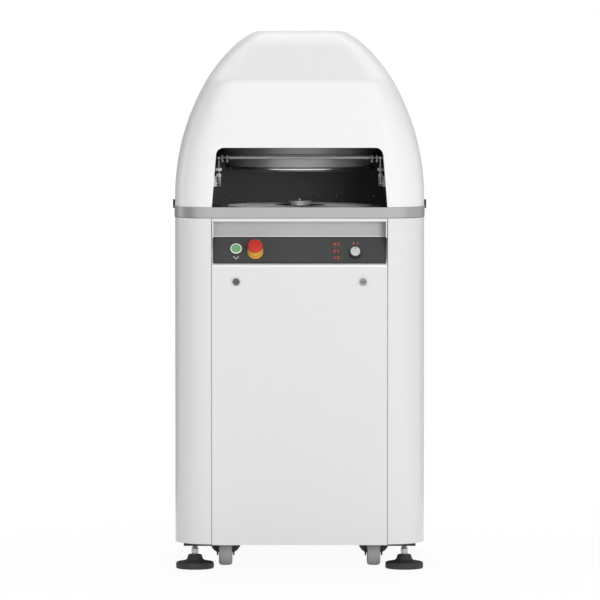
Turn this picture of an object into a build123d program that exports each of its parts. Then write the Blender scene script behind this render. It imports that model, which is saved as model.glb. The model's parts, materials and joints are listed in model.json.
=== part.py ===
from build123d import *
import os
from math import asin, cos, radians, sin, sqrt, tan

os.makedirs("parts", exist_ok=True)

# Driving dimensions in millimetres: front is -Y, up is +Z, floor is Z = 0

# Clearances
run_gap = 0.05
seat_gap = 0.3
fit_gap = 0.5
panel_gap = 0.7
free_gap = 1

# Castors and levelling feet
wheel_diameter = 80
wheel_width = 36
wheel_bore = 12
tyre_edge = 5
front_lift = 2
castor_rail_gap = 68
front_castor_setback = 150
rear_castor_setback = 105
castor_trail = 20
crown_room = 14.7
crown_thick = 10
crown_radius = 40
fork_leg = 4
fork_leg_depth = 34
fork_side_gap = 2
castor_stem_radius = 8
castor_nut_radius = 14
castor_nut_thick = 8
fork_flare = 15
fork_knee = 3
fork_flare_height = 26
foot_inset = 30
foot_setback = 72
foot_radius = 51
foot_thick = 20
foot_edge = 4
foot_sole_edge = 2
foot_hub_radius = 20
foot_hub_height = 37
foot_ball_radius = 11
foot_ball_height = 24
foot_stem_radius = 7.5
foot_hex_radius = 9.4
foot_hex_bottom = 39
foot_hex_top = 54

# Base frame
base_thick = 8
base_setback = 40
rail_inset = 23
rail_width = 44
rail_drop = 45
rail_wall = 5
rail_setback = 47.5
toe_width = 32
toe_length = 38
toe_thick = 8
post_size = 30
post_wall = 3
front_post_inset = 50
front_post_setback = 65
rear_post_inset = 35
rear_post_setback = 40
deck_thick = 12
deck_setback = 70

# Sheet casing
body_width = 670
body_depth = 680
front_radius = 100
rear_radius = 45
sheet = 2
casing_overhang = 36
casing_height = 877
seam_overlap = 1.5
rear_seam_inset = 85
return_depth = 22
front_panel_height = 754
front_panel_drop = 2
front_panel_depth = 14
vent_length = 130
vent_height = 6
vent_pitch = 16
vent_rows = 8
vent_x = 95
vent_z = 700
gland_inset = 70
gland_z = 200
gland_bore = 13
gland_thread_radius = 10
gland_nut_radius = 14
gland_nut_thick = 6
gland_nose_radius = 11
gland_nose_length = 11

# Control console
lip_height = 10
recess_depth = 45
recess_height = 44
slope_drop = 69
console_depth = 65
catch_flange = 24
catch_setback = 17
panel_thick = 3
panel_length = 82.3
panel_corner = 3
panel_margin = 4.5
device_inset = 65.8
stop_pitch = 51.5
stop_v = -6.5
timer_inset = 86.8
timer_v = -14
start_v = 1.5
display_pitch_x = 50.3
display_v = -3
display_width = 21
display_height = 13
display_pitch = 21
display_sink = 0.5
display_depth = 10
device_depth = 20
barrel_radius = 13
timer_barrel_radius = 10
start_bezel_radius = 15.7
start_bezel_thick = 5
start_bezel_edge = 1.2
start_radius = 11
start_proud = 1
start_length = 15
stop_collar_radius = 21.2
stop_collar_thick = 6
stop_neck_radius = 15.5
stop_neck_height = 15
stop_radius = 19.8
stop_thick = 14
stop_edge = 3
stop_lift = 5
stop_stem_radius = 8
stop_stem_length = 16
timer_skirt_radius = 14.7
timer_skirt_thick = 5
timer_radius = 13
timer_height = 15
timer_edge = 1.5
timer_stem_radius = 5
timer_stem_length = 16

# Front panel locks
lock_drop = 46.5
lock_radius = 11.6
lock_rim_radius = 14.3
lock_rim_thick = 2.5
lock_rim_edge = 1.2
lock_slot_width = 2.5
lock_slot_depth = 3
cam_length = 40
cam_width = 14
cam_thick = 3

# Table band and rounding table
band_height = 28
band_proud = 1.5
band_wall = 3
band_flange = 25
table_gap = 5
table_thick = 10
table_drop = 9
table_edge = 1.2
orbit = 18
pin_radius = 16
idle_pin_radius = 12
idle_inset = 80
idle_y = 60
boss_wall = 12
web_thick = 5
web_radius = 46
idle_web_radius = 36
pin_cover = 4
centre_pin_radius = 2.2
centre_pin_height = 18
table_hub_radius = 22
table_hub_top_radius = 34
table_hub_height = 11

# Rounding drive
shaft_radius = 25
housing_radius = 60
housing_flange_radius = 90
housing_flange_thick = 12
housing_length = 78
pulley_radius = 120
pulley_thick = 26
pulley_drop = 8
belt_height = 10
belt_thick = 8
belt_sink = 6
pulley_rim = 4
motor_setback = 115
motor_radius = 75
motor_length = 200
motor_flange_radius = 95
motor_flange_thick = 12
motor_shaft_radius = 12
motor_shaft_depth = 30
motor_pulley_radius = 40
cowl_length = 40
cowl_radius = 68
shelf_drop = 45
shelf_thick = 8
shelf_setback = 15
shelf_hole_radius = 30

# Press head
press_gap = 90
plate_room = 15
ring_radius = 200
ring_wall = 6
ring_edge = 2
ring_depth = 38
ring_flange = 6
ring_flange_thick = 6
ring_boss_radius = 9
ring_boss_count = 6
cut_stroke = 28
pad_thick = 8
pad_post_radius = 5
pad_side_gap = 1
slot_width = 4
blade_width = 2
blade_height = 36
blade_inset = 1
inner_ring_radius = 70
middle_ring_radius = 135
inner_pads = 4
middle_pads = 10
outer_pads = 16
blade_head_room = 4
head_disc_thick = 10
beam_height = 40
beam_width = 70
beam_end = 25
column_inset = 61
column_radius = 15
column_top = 6
bush_wall = 7
bush_flange = 6
bush_flange_thick = 5
bush_drop = 12
knife_rod_radius = 6
knife_rod_y = 70
knife_cylinder_radius = 25
knife_cylinder_height = 30
knife_ram_radius = 8
yoke_thick = 12
yoke_width = 40
yoke_overhang = 15
yoke_room = 3

# Hydraulic pull-down under the table
crosshead_top = 560
crosshead_height = 40
crosshead_width = 60
piston_rod_radius = 14
piston_radius = 35
piston_thick = 20
cylinder_wall = 7
cylinder_foot_radius = 70
cylinder_foot_thick = 12
cylinder_cap = 15
cylinder_room = 15
tank_inset = 35
tank_width = 180
tank_setback = 80
tank_depth = 200
tank_height = 150
tank_corner = 8
pump_inset = 15
pump_radius = 55
pump_height = 140
valve_size = 50
box_inset = 25
box_width = 90
box_setback = 80
box_depth = 200
box_height = 280
box_corner = 4

# Chamber liner and trip bar
liner_thick = 2
liner_gap = 0.95
liner_front_reach = 34
liner_back_height = 192
liner_side_height = 97
bar_radius = 2.5
bar_z = 129
bar_gap = 10
arm_inset = 25
arm_radius = 3
arm_eye_radius = 6
arm_eye_width = 8
arm_collar_radius = 7
arm_collar_height = 7
arm_collar_z = 97
trip_pivot_z = 60
trip_pin_radius = 3
bracket_depth = 20
bracket_height = 18
bracket_width = 19

# Hood
hood_height = 469
hood_wall = 4
hood_side_straight = 25
hood_side_radius = 620
hood_side_turn = 30
hood_crown_radius = 380
hood_side_shoulder = 52
hood_front_shoulder = 106
hood_rear_shoulder = 69
hood_bend_height = 345
hood_bend_radius = 40
hood_slope_angle = 40
hood_corner_taper = 0.105
hood_wall_steps = 12
hood_bend_steps = 3
hood_shoulder_steps = 6
mouth_height = 159
mouth_inset = 1.5
mouth_taper = 13
mouth_corner = 19
mouth_cut = 16
catch_y = -100
catch_length = 30
catch_height = 23
catch_proud = 7

# Hood hinge
hinge_x = 170
hinge_lift = 8
hinge_out = 8.5
hinge_barrel_radius = 7
hinge_pin_radius = 3
ear_length = 14
knuckle_length = 12
ear_drop = 24
ear_thick = 5
ear_notch = 6
leaf_width = 30
leaf_height = 40
leaf_thick = 3

# Levels and places worked out from the driving dimensions
half_width = body_width / 2
front_y = -body_depth / 2
rear_y = body_depth / 2
seam_x = half_width - front_radius + seam_overlap
rear_seam_x = half_width - rear_seam_inset
rail_outer_x = half_width - rail_inset
rail_inner_x = rail_outer_x - rail_width
rail_front = front_y + rail_setback
castor_x = rail_inner_x - castor_rail_gap
front_castor_y = front_y + front_castor_setback
rear_castor_y = rear_y - rear_castor_setback
foot_x = rail_outer_x - foot_inset
foot_y = front_y + foot_setback
wheel_radius = wheel_diameter / 2
base_bottom = wheel_diameter + front_lift + crown_room + crown_thick + seat_gap
base_top = base_bottom + base_thick
rail_bottom = base_bottom - rail_drop
casing_bottom = base_bottom - casing_overhang
casing_top = casing_bottom + casing_height
deck_bottom = casing_top - deck_thick
band_top = casing_top + band_height
table_top = band_top - table_drop
table_bottom = table_top - table_thick
front_panel_bottom = casing_bottom - front_panel_drop
front_panel_top = front_panel_bottom + front_panel_height
console_bottom = front_panel_top + free_gap
lip_bottom = casing_top - lip_height
slope_top = lip_bottom - recess_height
recess_y = front_y + recess_depth
notch_x = seam_x + 2 * sheet
panel_edge = seam_x - panel_gap
lock_x = panel_edge - device_inset
start_x = -lock_x
stop_x = start_x + stop_pitch
timer_x = panel_edge - timer_inset
display_x = timer_x - display_pitch_x
lock_z = front_panel_top - lock_drop
column_x = half_width - column_inset
beam_length = 2 * (column_x + beam_end)
bush_radius = column_radius + run_gap + bush_wall
liner_outer = column_x - bush_radius - bush_flange - liner_gap
liner_x = liner_outer - liner_thick
table_radius = liner_x - orbit - table_gap
liner_y = table_radius + orbit
idle_x = table_radius - idle_inset
ring_bottom = band_top + press_gap
press_stroke = press_gap - plate_room
pad_bottom = ring_bottom + cut_stroke
blade_bottom = pad_bottom + blade_inset
head_disc_bottom = blade_bottom + blade_height + blade_head_room
beam_bottom = head_disc_bottom + head_disc_thick
beam_top = beam_bottom + beam_height
hood_bottom = band_top + seat_gap
hinge_y = rear_y + band_proud + hinge_out
hinge_z = band_top + hinge_lift
trip_pivot = band_top + trip_pivot_z
bar_y = -ring_radius - ring_flange - bar_gap
arm_x = liner_x - arm_inset
bracket_inner_x = liner_x - bracket_width
liner_front = bar_y - liner_front_reach
mouth_half_width = seam_x - mouth_inset
web_bottom = casing_top + seat_gap
web_top = web_bottom + web_thick
pin_top = table_top - pin_cover
housing_bottom = deck_bottom - housing_flange_thick - housing_length
pulley_top = housing_bottom - pulley_drop
pulley_middle = pulley_top - pulley_thick / 2
shelf_top = pulley_top - shelf_drop
shelf_bottom = shelf_top - shelf_thick
motor_top = shelf_bottom
motor_y = rear_y - motor_setback
shelf_front = motor_y - motor_flange_radius
shelf_back = rear_y - shelf_setback
gland_x = rear_seam_x - gland_inset
tank_x = tank_inset - half_width
tank_y = rear_y - tank_setback - tank_depth
box_x = half_width - box_inset - box_width
box_y = rear_y - box_setback - box_depth
crosshead_bottom = crosshead_top - crosshead_height
cylinder_top = crosshead_bottom - press_stroke - cylinder_room
signs = (-1, 1)
sides = (("left", -1), ("right", 1))
foot_align = (Align.CENTER, Align.CENTER, Align.MIN)
corner_align = (Align.MIN, Align.MIN, Align.MIN)


# Small helpers that draw into the active block
def save(piece, name):
    """Label a finished piece and write it as its own STEP file."""
    piece.part.label = name
    export_step(piece.part, f"parts/{name}.step")


def upright(radius, bottom, top, x=0, y=0, mode=Mode.ADD):
    """Cylinder along Z between two heights."""
    with Locations((x, y, bottom)):
        Cylinder(radius, top - bottom, align=foot_align, mode=mode)


def crosswise(radius, left, right, y, z, mode=Mode.ADD):
    """Cylinder along X between two places."""
    with Locations(Location((left, y, z), (0, 90, 0))):
        Cylinder(radius, right - left, align=foot_align, mode=mode)


def lengthwise(radius, front, back, x, z, mode=Mode.ADD):
    """Cylinder along Y between two places."""
    with Locations(Location((x, front, z), (-90, 0, 0))):
        Cylinder(radius, back - front, align=foot_align, mode=mode)


def block(x, y, z, mode=Mode.ADD):
    """Box between a pair of limits on each axis."""
    left, right = sorted(x)
    with Locations((left, y[0], z[0])):
        Box(right - left, y[1] - y[0], z[1] - z[0], align=corner_align, mode=mode)


def area(x, y, mode=Mode.ADD):
    """Rectangle in a sketch between a pair of limits on each axis."""
    left, right = sorted(x)
    with Locations(((left + right) / 2, (y[0] + y[1]) / 2)):
        Rectangle(right - left, y[1] - y[0], mode=mode)


def plan_outline(inset):
    """Plan of the body, moved inward from the casing's outer face."""
    with BuildSketch() as outline:
        Rectangle(body_width - 2 * inset, body_depth - 2 * inset)
        fillet(outline.vertices().group_by(Axis.Y)[0], front_radius - inset)
        fillet(outline.vertices().group_by(Axis.Y)[-1], rear_radius - inset)
    return outline.sketch


outer_plan = plan_outline(0)
inner_plan = plan_outline(sheet)
plate_plan = plan_outline(sheet + fit_gap)

# Base plate, which carries the castors, rails and posts
with BuildPart() as base_plate:
    with BuildSketch(Plane.XY.offset(base_bottom)):
        add(plate_plan)
        area((-notch_x, notch_x), (front_y, front_y + base_setback), Mode.SUBTRACT)
        with Locations((-castor_x, front_castor_y), (castor_x, front_castor_y)):
            Circle(castor_stem_radius + run_gap, mode=Mode.SUBTRACT)
    extrude(amount=base_thick)
save(base_plate, "base_plate")

# Base rails: box tubes with a toe plate over each levelling foot
with BuildPart() as base_rails:
    for sign in signs:
        block(
            (sign * rail_inner_x, sign * rail_outer_x),
            (rail_front, -rail_front),
            (rail_bottom, base_bottom),
        )
        block(
            (sign * (rail_inner_x + rail_wall), sign * (rail_outer_x - rail_wall)),
            (rail_front, -rail_front),
            (rail_bottom + rail_wall, base_bottom - rail_wall),
            Mode.SUBTRACT,
        )
        block(
            (sign * (rail_inner_x - toe_width), sign * rail_inner_x),
            (rail_front, rail_front + toe_length),
            (rail_bottom, rail_bottom + toe_thick),
        )
        upright(foot_stem_radius + run_gap, rail_bottom, base_bottom, sign * foot_x, foot_y, Mode.SUBTRACT)
save(base_rails, "base_rails")

# Frame posts between the base plate and the deck
front_post = (half_width - front_post_inset, front_y + front_post_setback)
rear_post = (half_width - rear_post_inset, rear_y - rear_post_setback)
with BuildPart() as frame_posts:
    with BuildSketch(Plane.XY.offset(base_top)):
        for sign in signs:
            with Locations((sign * front_post[0], front_post[1]), (sign * rear_post[0], rear_post[1])):
                Rectangle(post_size, post_size)
                Rectangle(post_size - 2 * post_wall, post_size - 2 * post_wall, mode=Mode.SUBTRACT)
    extrude(amount=deck_bottom - base_top)
save(frame_posts, "frame_posts")

# Deck plate, the chamber floor that carries the drive and the column bushes
crank_y = -orbit
with BuildPart() as deck_plate:
    with BuildSketch(Plane.XY.offset(deck_bottom)):
        add(plate_plan)
        area((-notch_x, notch_x), (front_y, front_y + deck_setback), Mode.SUBTRACT)
        with Locations((0, crank_y)):
            Circle(housing_radius + run_gap, mode=Mode.SUBTRACT)
        with Locations((-column_x, 0), (column_x, 0)):
            Circle(bush_radius + run_gap, mode=Mode.SUBTRACT)
        with Locations((-idle_x, idle_y - orbit), (idle_x, idle_y - orbit)):
            Circle(idle_pin_radius + run_gap, mode=Mode.SUBTRACT)
    extrude(amount=deck_thick)
save(deck_plate, "deck_plate")

# Side casings: folded sheet with a round front corner and a return at the seam
for side, sign in sides:
    with BuildPart() as casing:
        with BuildSketch(Plane.XY.offset(casing_bottom)):
            add(outer_plan)
            add(inner_plan, mode=Mode.SUBTRACT)
            area((sign * seam_x, -sign * half_width), (front_y, 0), Mode.SUBTRACT)
            area((sign * rear_seam_x, -sign * half_width), (0, rear_y), Mode.SUBTRACT)
            area((sign * seam_x, sign * (seam_x + sheet)), (front_y + sheet / 2, front_y + return_depth))
        extrude(amount=casing_height)
    save(casing, f"{side}_casing")

# Rear panel with two banks of vents and the cable hole
with BuildPart() as rear_panel:
    rear_edge = rear_seam_x - panel_gap
    block((-rear_edge, rear_edge), (rear_y - sheet, rear_y), (casing_bottom, casing_top))
    with BuildSketch(Plane.XZ.offset(-rear_y)):
        with Locations((-vent_x, vent_z), (vent_x, vent_z)):
            with GridLocations(0, vent_pitch, 1, vent_rows):
                SlotOverall(vent_length, vent_height)
    extrude(amount=sheet, mode=Mode.SUBTRACT)
    lengthwise(gland_thread_radius + run_gap, rear_y - sheet, rear_y, gland_x, gland_z, Mode.SUBTRACT)
save(rear_panel, "rear_panel")

# Cable gland in the rear panel
with BuildPart() as cable_gland:
    gland_inside = rear_y - sheet - gland_nut_thick
    gland_outside = rear_y + gland_nut_thick
    lengthwise(gland_thread_radius, gland_inside, gland_outside, gland_x, gland_z)
    for nut_front in (gland_inside, rear_y):
        with BuildSketch(Plane.XZ.offset(-nut_front)):
            with Locations((gland_x, gland_z)):
                RegularPolygon(gland_nut_radius, 6)
        extrude(amount=-gland_nut_thick)
    gland_end = gland_outside + gland_nose_length
    lengthwise(gland_nose_radius, gland_outside, gland_end, gland_x, gland_z)
    lengthwise(gland_bore / 2, gland_inside, gland_end, gland_x, gland_z, Mode.SUBTRACT)
save(cable_gland, "cable_gland")

# Front panel: a pan with a return on all four sides and two lock holes
with BuildPart() as front_panel:
    panel_back = front_y + front_panel_depth
    block((-panel_edge, panel_edge), (front_y, panel_back), (front_panel_bottom, front_panel_top))
    offset(amount=-sheet, openings=front_panel.faces().sort_by(Axis.Y)[-1])
    for sign in signs:
        lengthwise(lock_radius + run_gap, front_y, front_y + sheet, sign * lock_x, lock_z, Mode.SUBTRACT)
save(front_panel, "front_panel")

# Quarter-turn locks: rim, barrel and a cam that turns up behind the console's catch flange
cam_front = front_y + catch_setback + sheet + seat_gap
for side, sign in sides:
    with BuildPart() as lock:
        lengthwise(lock_rim_radius, front_y - lock_rim_thick, front_y, sign * lock_x, lock_z)
        lengthwise(lock_radius, front_y, cam_front, sign * lock_x, lock_z)
        rim_edge = lock.faces().sort_by(Axis.Y)[0].edges()
        chamfer(rim_edge, lock_rim_edge)
        block(
            (sign * lock_x + sign * cam_width / 2, sign * (lock_x - cam_length)),
            (cam_front, cam_front + cam_thick),
            (lock_z - cam_width / 2, lock_z + cam_width / 2),
        )
        block(
            (sign * lock_x - lock_radius / 2, sign * lock_x + lock_radius / 2),
            (front_y - lock_rim_thick, front_y - lock_rim_thick + lock_slot_depth),
            (lock_z - lock_slot_width / 2, lock_z + lock_slot_width / 2),
            Mode.SUBTRACT,
        )
    save(lock, f"{side}_lock")

# Console: folded recess with a sloping seat for the control panel
slope_bottom = slope_top - slope_drop
slope_normal = (0, -slope_drop, recess_depth)
slope_middle = (0, (front_y + recess_y) / 2, (slope_top + slope_bottom) / 2)
slope_plane = Plane(origin=slope_middle, x_dir=(1, 0, 0), z_dir=slope_normal)
display_places = [(display_x, display_v + row * display_pitch) for row in (-1, 0, 1)]


def device_holes(mode):
    """Holes of the control devices, in the slope's own plane."""
    with Locations((start_x, start_v), (stop_x, stop_v)):
        Circle(barrel_radius + run_gap, mode=mode)
    with Locations((timer_x, timer_v)):
        Circle(timer_barrel_radius + run_gap, mode=mode)
    with Locations(*display_places):
        Rectangle(display_width + seat_gap, display_height + seat_gap, mode=mode)


with BuildPart() as console_housing:
    with BuildSketch(Plane.YZ.offset(-panel_edge)):
        with BuildLine():
            Polyline(
                (front_y, casing_top),
                (front_y, lip_bottom),
                (recess_y, lip_bottom),
                (recess_y, slope_top),
                (front_y, slope_bottom),
                (front_y, console_bottom),
                (front_y + console_depth, console_bottom),
                (front_y + console_depth, casing_top),
                close=True,
            )
        make_face()
    extrude(amount=2 * panel_edge)
    offset(amount=-sheet, openings=console_housing.faces().sort_by(Axis.Y)[-1])
    with BuildSketch(slope_plane):
        device_holes(Mode.ADD)
    extrude(amount=-2 * sheet, mode=Mode.SUBTRACT)
    block(
        (-lock_x - cam_length, lock_x + cam_length),
        (front_y + catch_setback, front_y + catch_setback + sheet),
        (console_bottom - catch_flange, console_bottom + sheet / 2),
    )
save(console_housing, "console_housing")

# Control panel plate on the console's slope
with BuildPart() as control_panel:
    with BuildSketch(slope_plane):
        RectangleRounded(2 * (panel_edge - panel_margin), panel_length, panel_corner)
        device_holes(Mode.SUBTRACT)
    extrude(amount=panel_thick)
save(control_panel, "control_panel")

# Three two-digit displays, set just below the panel's face
with BuildPart() as led_displays:
    with BuildSketch(slope_plane.offset(panel_thick - display_sink)):
        with Locations(*display_places):
            Rectangle(display_width, display_height)
    extrude(amount=-display_depth)
save(led_displays, "led_displays")

# Start button in its bezel
start_face = panel_thick + start_bezel_thick
with BuildPart(slope_plane) as start_bezel:
    upright(start_bezel_radius, panel_thick, start_face, start_x, start_v)
    chamfer(start_bezel.edges().filter_by(GeomType.CIRCLE).sort_by(SortBy.RADIUS)[-1], start_bezel_edge)
    upright(barrel_radius, -device_depth, panel_thick, start_x, start_v)
    upright(start_radius + run_gap, sheet - device_depth, start_face, start_x, start_v, Mode.SUBTRACT)
save(start_bezel, "start_bezel")

with BuildPart(slope_plane) as start_button:
    start_top = start_face + start_proud
    upright(start_radius, start_top - start_length, start_top, start_x, start_v)
    fillet(start_button.edges().filter_by(GeomType.CIRCLE).sort_by(Axis.Z)[-1], start_proud)
save(start_button, "start_button")

# Emergency stop: collar with a neck in the panel, and a mushroom head on its stem
stop_flange_top = panel_thick + stop_collar_thick
stop_face = stop_flange_top + stop_neck_height
with BuildPart(slope_plane) as stop_collar:
    upright(stop_collar_radius, panel_thick, stop_flange_top, stop_x, stop_v)
    upright(stop_neck_radius, stop_flange_top, stop_face, stop_x, stop_v)
    upright(barrel_radius, -device_depth, panel_thick, stop_x, stop_v)
    upright(stop_stem_radius + run_gap, sheet - device_depth, stop_face, stop_x, stop_v, Mode.SUBTRACT)
save(stop_collar, "stop_collar")

with BuildPart(slope_plane) as stop_button:
    head_bottom = stop_face + stop_lift
    upright(stop_radius, head_bottom, head_bottom + stop_thick, stop_x, stop_v)
    fillet(stop_button.edges().filter_by(GeomType.CIRCLE), stop_edge)
    upright(stop_stem_radius, head_bottom - stop_stem_length, head_bottom + stop_edge, stop_x, stop_v)
save(stop_button, "stop_button")

# Timer knob on its skirt
skirt_face = panel_thick + timer_skirt_thick
with BuildPart(slope_plane) as timer_skirt:
    upright(timer_skirt_radius, panel_thick, skirt_face, timer_x, timer_v)
    upright(timer_barrel_radius, -device_depth, panel_thick, timer_x, timer_v)
    upright(timer_stem_radius + run_gap, sheet - device_depth, skirt_face, timer_x, timer_v, Mode.SUBTRACT)
save(timer_skirt, "timer_skirt")

with BuildPart(slope_plane) as timer_knob:
    knob_bottom = skirt_face + seat_gap
    upright(timer_radius, knob_bottom, knob_bottom + timer_height, timer_x, timer_v)
    fillet(timer_knob.edges().filter_by(GeomType.CIRCLE), timer_edge)
    upright(timer_stem_radius, knob_bottom - timer_stem_length, knob_bottom + timer_edge, timer_x, timer_v)
save(timer_knob, "timer_knob")

# Stainless band round the deck, with a flange that lies on it
with BuildPart() as table_band:
    with BuildSketch(Plane.XY.offset(casing_top)):
        add(plan_outline(-band_proud))
        add(plan_outline(band_wall - band_proud), mode=Mode.SUBTRACT)
    extrude(amount=band_height)
    with BuildSketch(Plane.XY.offset(casing_top)):
        add(plan_outline(band_wall - band_proud))
        add(plan_outline(band_wall - band_proud + band_flange), mode=Mode.SUBTRACT)
    extrude(amount=band_wall)
save(table_band, "table_band")

# Chamber liner: tall back and two low sides
with BuildPart() as chamber_liner:
    block(
        (-liner_outer, liner_outer),
        (liner_y, liner_y + liner_thick),
        (casing_top, casing_top + liner_back_height),
    )
    for sign in signs:
        block(
            (sign * liner_x, sign * liner_outer),
            (liner_front, liner_y + liner_thick),
            (casing_top, casing_top + liner_side_height),
        )
save(chamber_liner, "chamber_liner")

# Trip bar across the mouth, on arms that pivot on the liner's brackets
with BuildPart() as trip_brackets:
    for sign in signs:
        block(
            (sign * bracket_inner_x, sign * liner_x),
            (bar_y - bracket_depth / 2, bar_y + bracket_depth / 2),
            (trip_pivot - bracket_height / 2, trip_pivot + bracket_height / 2),
        )
        pin_ends = sorted((sign * (arm_x - arm_eye_width / 2), sign * bracket_inner_x))
        crosswise(trip_pin_radius, pin_ends[0], pin_ends[1], bar_y, trip_pivot)
save(trip_brackets, "trip_brackets")

with BuildPart() as trip_bar:
    crosswise(bar_radius, -arm_x, arm_x, bar_y, band_top + bar_z)
    for sign in signs:
        upright(arm_radius, trip_pivot, band_top + bar_z + arm_radius, sign * arm_x, bar_y)
        collar_bottom = band_top + arm_collar_z - arm_collar_height / 2
        upright(arm_collar_radius, collar_bottom, collar_bottom + arm_collar_height, sign * arm_x, bar_y)
        eye_ends = sorted((sign * (arm_x - arm_eye_width / 2), sign * (arm_x + arm_eye_width / 2)))
        crosswise(arm_eye_radius, eye_ends[0], eye_ends[1], bar_y, trip_pivot)
        crosswise(trip_pin_radius + run_gap, eye_ends[0], eye_ends[1], bar_y, trip_pivot, Mode.SUBTRACT)
save(trip_bar, "trip_bar")

# Crank bearing housing under the deck
with BuildPart() as bearing_housing:
    upright(housing_radius, housing_bottom, casing_top, 0, crank_y)
    upright(housing_flange_radius, deck_bottom - housing_flange_thick, deck_bottom, 0, crank_y)
    upright(shaft_radius + run_gap, housing_bottom, casing_top, 0, crank_y, Mode.SUBTRACT)
save(bearing_housing, "bearing_housing")

# Crank shaft with its web and eccentric pin
with BuildPart() as crank_shaft:
    upright(shaft_radius, pulley_top - pulley_thick, web_bottom, 0, crank_y)
    upright(web_radius, web_bottom, web_top, 0, crank_y)
    upright(pin_radius, web_top, pin_top, 0, crank_y + orbit)
save(crank_shaft, "crank_shaft")

# Idle cranks that keep the rounding table from turning
for side, sign in sides:
    with BuildPart() as idle_crank:
        upright(idle_pin_radius, deck_bottom, web_bottom, sign * idle_x, idle_y - orbit)
        upright(idle_web_radius, web_bottom, web_top, sign * idle_x, idle_y - orbit)
        upright(idle_pin_radius, web_top, pin_top, sign * idle_x, idle_y)
    save(idle_crank, f"idle_crank_{side}")

# Rounding table with three bearing bosses, a flared hub and a centre pin
with BuildPart() as orbit_table:
    boss_bottom = web_top + seat_gap
    socket_top = pin_top + seat_gap
    upright(table_radius, table_bottom, table_top)
    chamfer(orbit_table.edges().filter_by(GeomType.CIRCLE).sort_by(Axis.Z)[-1], table_edge)
    upright(pin_radius + boss_wall, boss_bottom, table_bottom)
    upright(pin_radius + run_gap, boss_bottom, socket_top, mode=Mode.SUBTRACT)
    for sign in signs:
        idle_place = (sign * idle_x, idle_y)
        upright(idle_pin_radius + boss_wall, boss_bottom, table_bottom, *idle_place)
        upright(idle_pin_radius + run_gap, boss_bottom, socket_top, *idle_place, Mode.SUBTRACT)
    with Locations((0, 0, table_top)):
        Cone(table_hub_radius, table_hub_top_radius, table_hub_height, align=foot_align)
    upright(centre_pin_radius, table_top, table_top + centre_pin_height)
save(orbit_table, "orbit_table")


def pulley(radius, bore, x, y):
    """Flat-belt pulley with two rims, at the belt's height."""
    groove = belt_height / 2 + seat_gap
    upright(radius + pulley_rim, pulley_top - pulley_thick, pulley_middle - groove, x, y)
    upright(radius - belt_sink - seat_gap, pulley_middle - groove, pulley_middle + groove, x, y)
    upright(radius + pulley_rim, pulley_middle + groove, pulley_top, x, y)
    if bore:
        upright(bore, pulley_top - pulley_thick, pulley_top, x, y, Mode.SUBTRACT)


with BuildPart() as crank_pulley:
    pulley(pulley_radius, shaft_radius + run_gap, 0, crank_y)
save(crank_pulley, "crank_pulley")

# Motor shaft with its small pulley
with BuildPart() as motor_pulley:
    pulley(motor_pulley_radius, 0, 0, motor_y)
    upright(motor_shaft_radius, motor_top - motor_shaft_depth, pulley_top - pulley_thick, 0, motor_y)
save(motor_pulley, "motor_pulley")

# Drive belt round both pulleys
with BuildPart() as drive_belt:
    with BuildSketch(Plane.XY.offset(pulley_middle - belt_height / 2)):
        with BuildSketch(mode=Mode.PRIVATE) as belt_outside:
            with Locations((0, crank_y)):
                Circle(pulley_radius - belt_sink + belt_thick)
            with Locations((0, motor_y)):
                Circle(motor_pulley_radius - belt_sink + belt_thick)
            make_hull()
        with BuildSketch(mode=Mode.PRIVATE) as belt_inside:
            with Locations((0, crank_y)):
                Circle(pulley_radius - belt_sink)
            with Locations((0, motor_y)):
                Circle(motor_pulley_radius - belt_sink)
            make_hull()
        add(belt_outside.sketch)
        add(belt_inside.sketch, mode=Mode.SUBTRACT)
    extrude(amount=belt_height)
save(drive_belt, "drive_belt")

# Motor under its shelf
with BuildPart() as motor:
    flange_bottom = motor_top - motor_flange_thick
    motor_bottom = flange_bottom - motor_length
    shaft_hole_bottom = motor_top - motor_shaft_depth - seat_gap
    upright(motor_flange_radius, flange_bottom, motor_top, 0, motor_y)
    upright(motor_radius, motor_bottom, flange_bottom, 0, motor_y)
    upright(cowl_radius, motor_bottom - cowl_length, motor_bottom, 0, motor_y)
    upright(motor_shaft_radius + run_gap, shaft_hole_bottom, motor_top, 0, motor_y, Mode.SUBTRACT)
save(motor, "motor")

with BuildPart() as motor_shelf:
    shelf_edge = rear_post[0] - post_size / 2
    block((-shelf_edge, shelf_edge), (shelf_front, shelf_back), (shelf_bottom, shelf_top))
    upright(shelf_hole_radius, shelf_bottom, shelf_top, 0, motor_y, Mode.SUBTRACT)
save(motor_shelf, "motor_shelf")

# Guide columns of the press head and their bushes
with BuildPart() as guide_columns:
    for sign in signs:
        upright(column_radius, crosshead_bottom, beam_top + column_top, sign * column_x)
save(guide_columns, "guide_columns")

with BuildPart() as column_bushes:
    bush_bottom = deck_bottom - bush_drop
    bush_top = casing_top + bush_flange_thick
    for sign in signs:
        upright(bush_radius, bush_bottom, casing_top, sign * column_x)
        upright(bush_radius + bush_flange, casing_top, bush_top, sign * column_x)
        upright(column_radius + run_gap, bush_bottom, bush_top, sign * column_x, 0, Mode.SUBTRACT)
save(column_bushes, "column_bushes")

# Head beam: cross beam on the columns with the round head disc under it
with BuildPart() as head_beam:
    upright(ring_radius + ring_flange, head_disc_bottom, beam_bottom)
    block((-beam_length / 2, beam_length / 2), (-beam_width / 2, beam_width / 2), (beam_bottom, beam_top))
    for sign in signs:
        rod_y = sign * knife_rod_y
        upright(column_radius + run_gap, beam_bottom, beam_top, sign * column_x, 0, Mode.SUBTRACT)
        upright(knife_rod_radius + free_gap, head_disc_bottom, beam_bottom, 0, rod_y, Mode.SUBTRACT)
save(head_beam, "head_beam")

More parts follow.
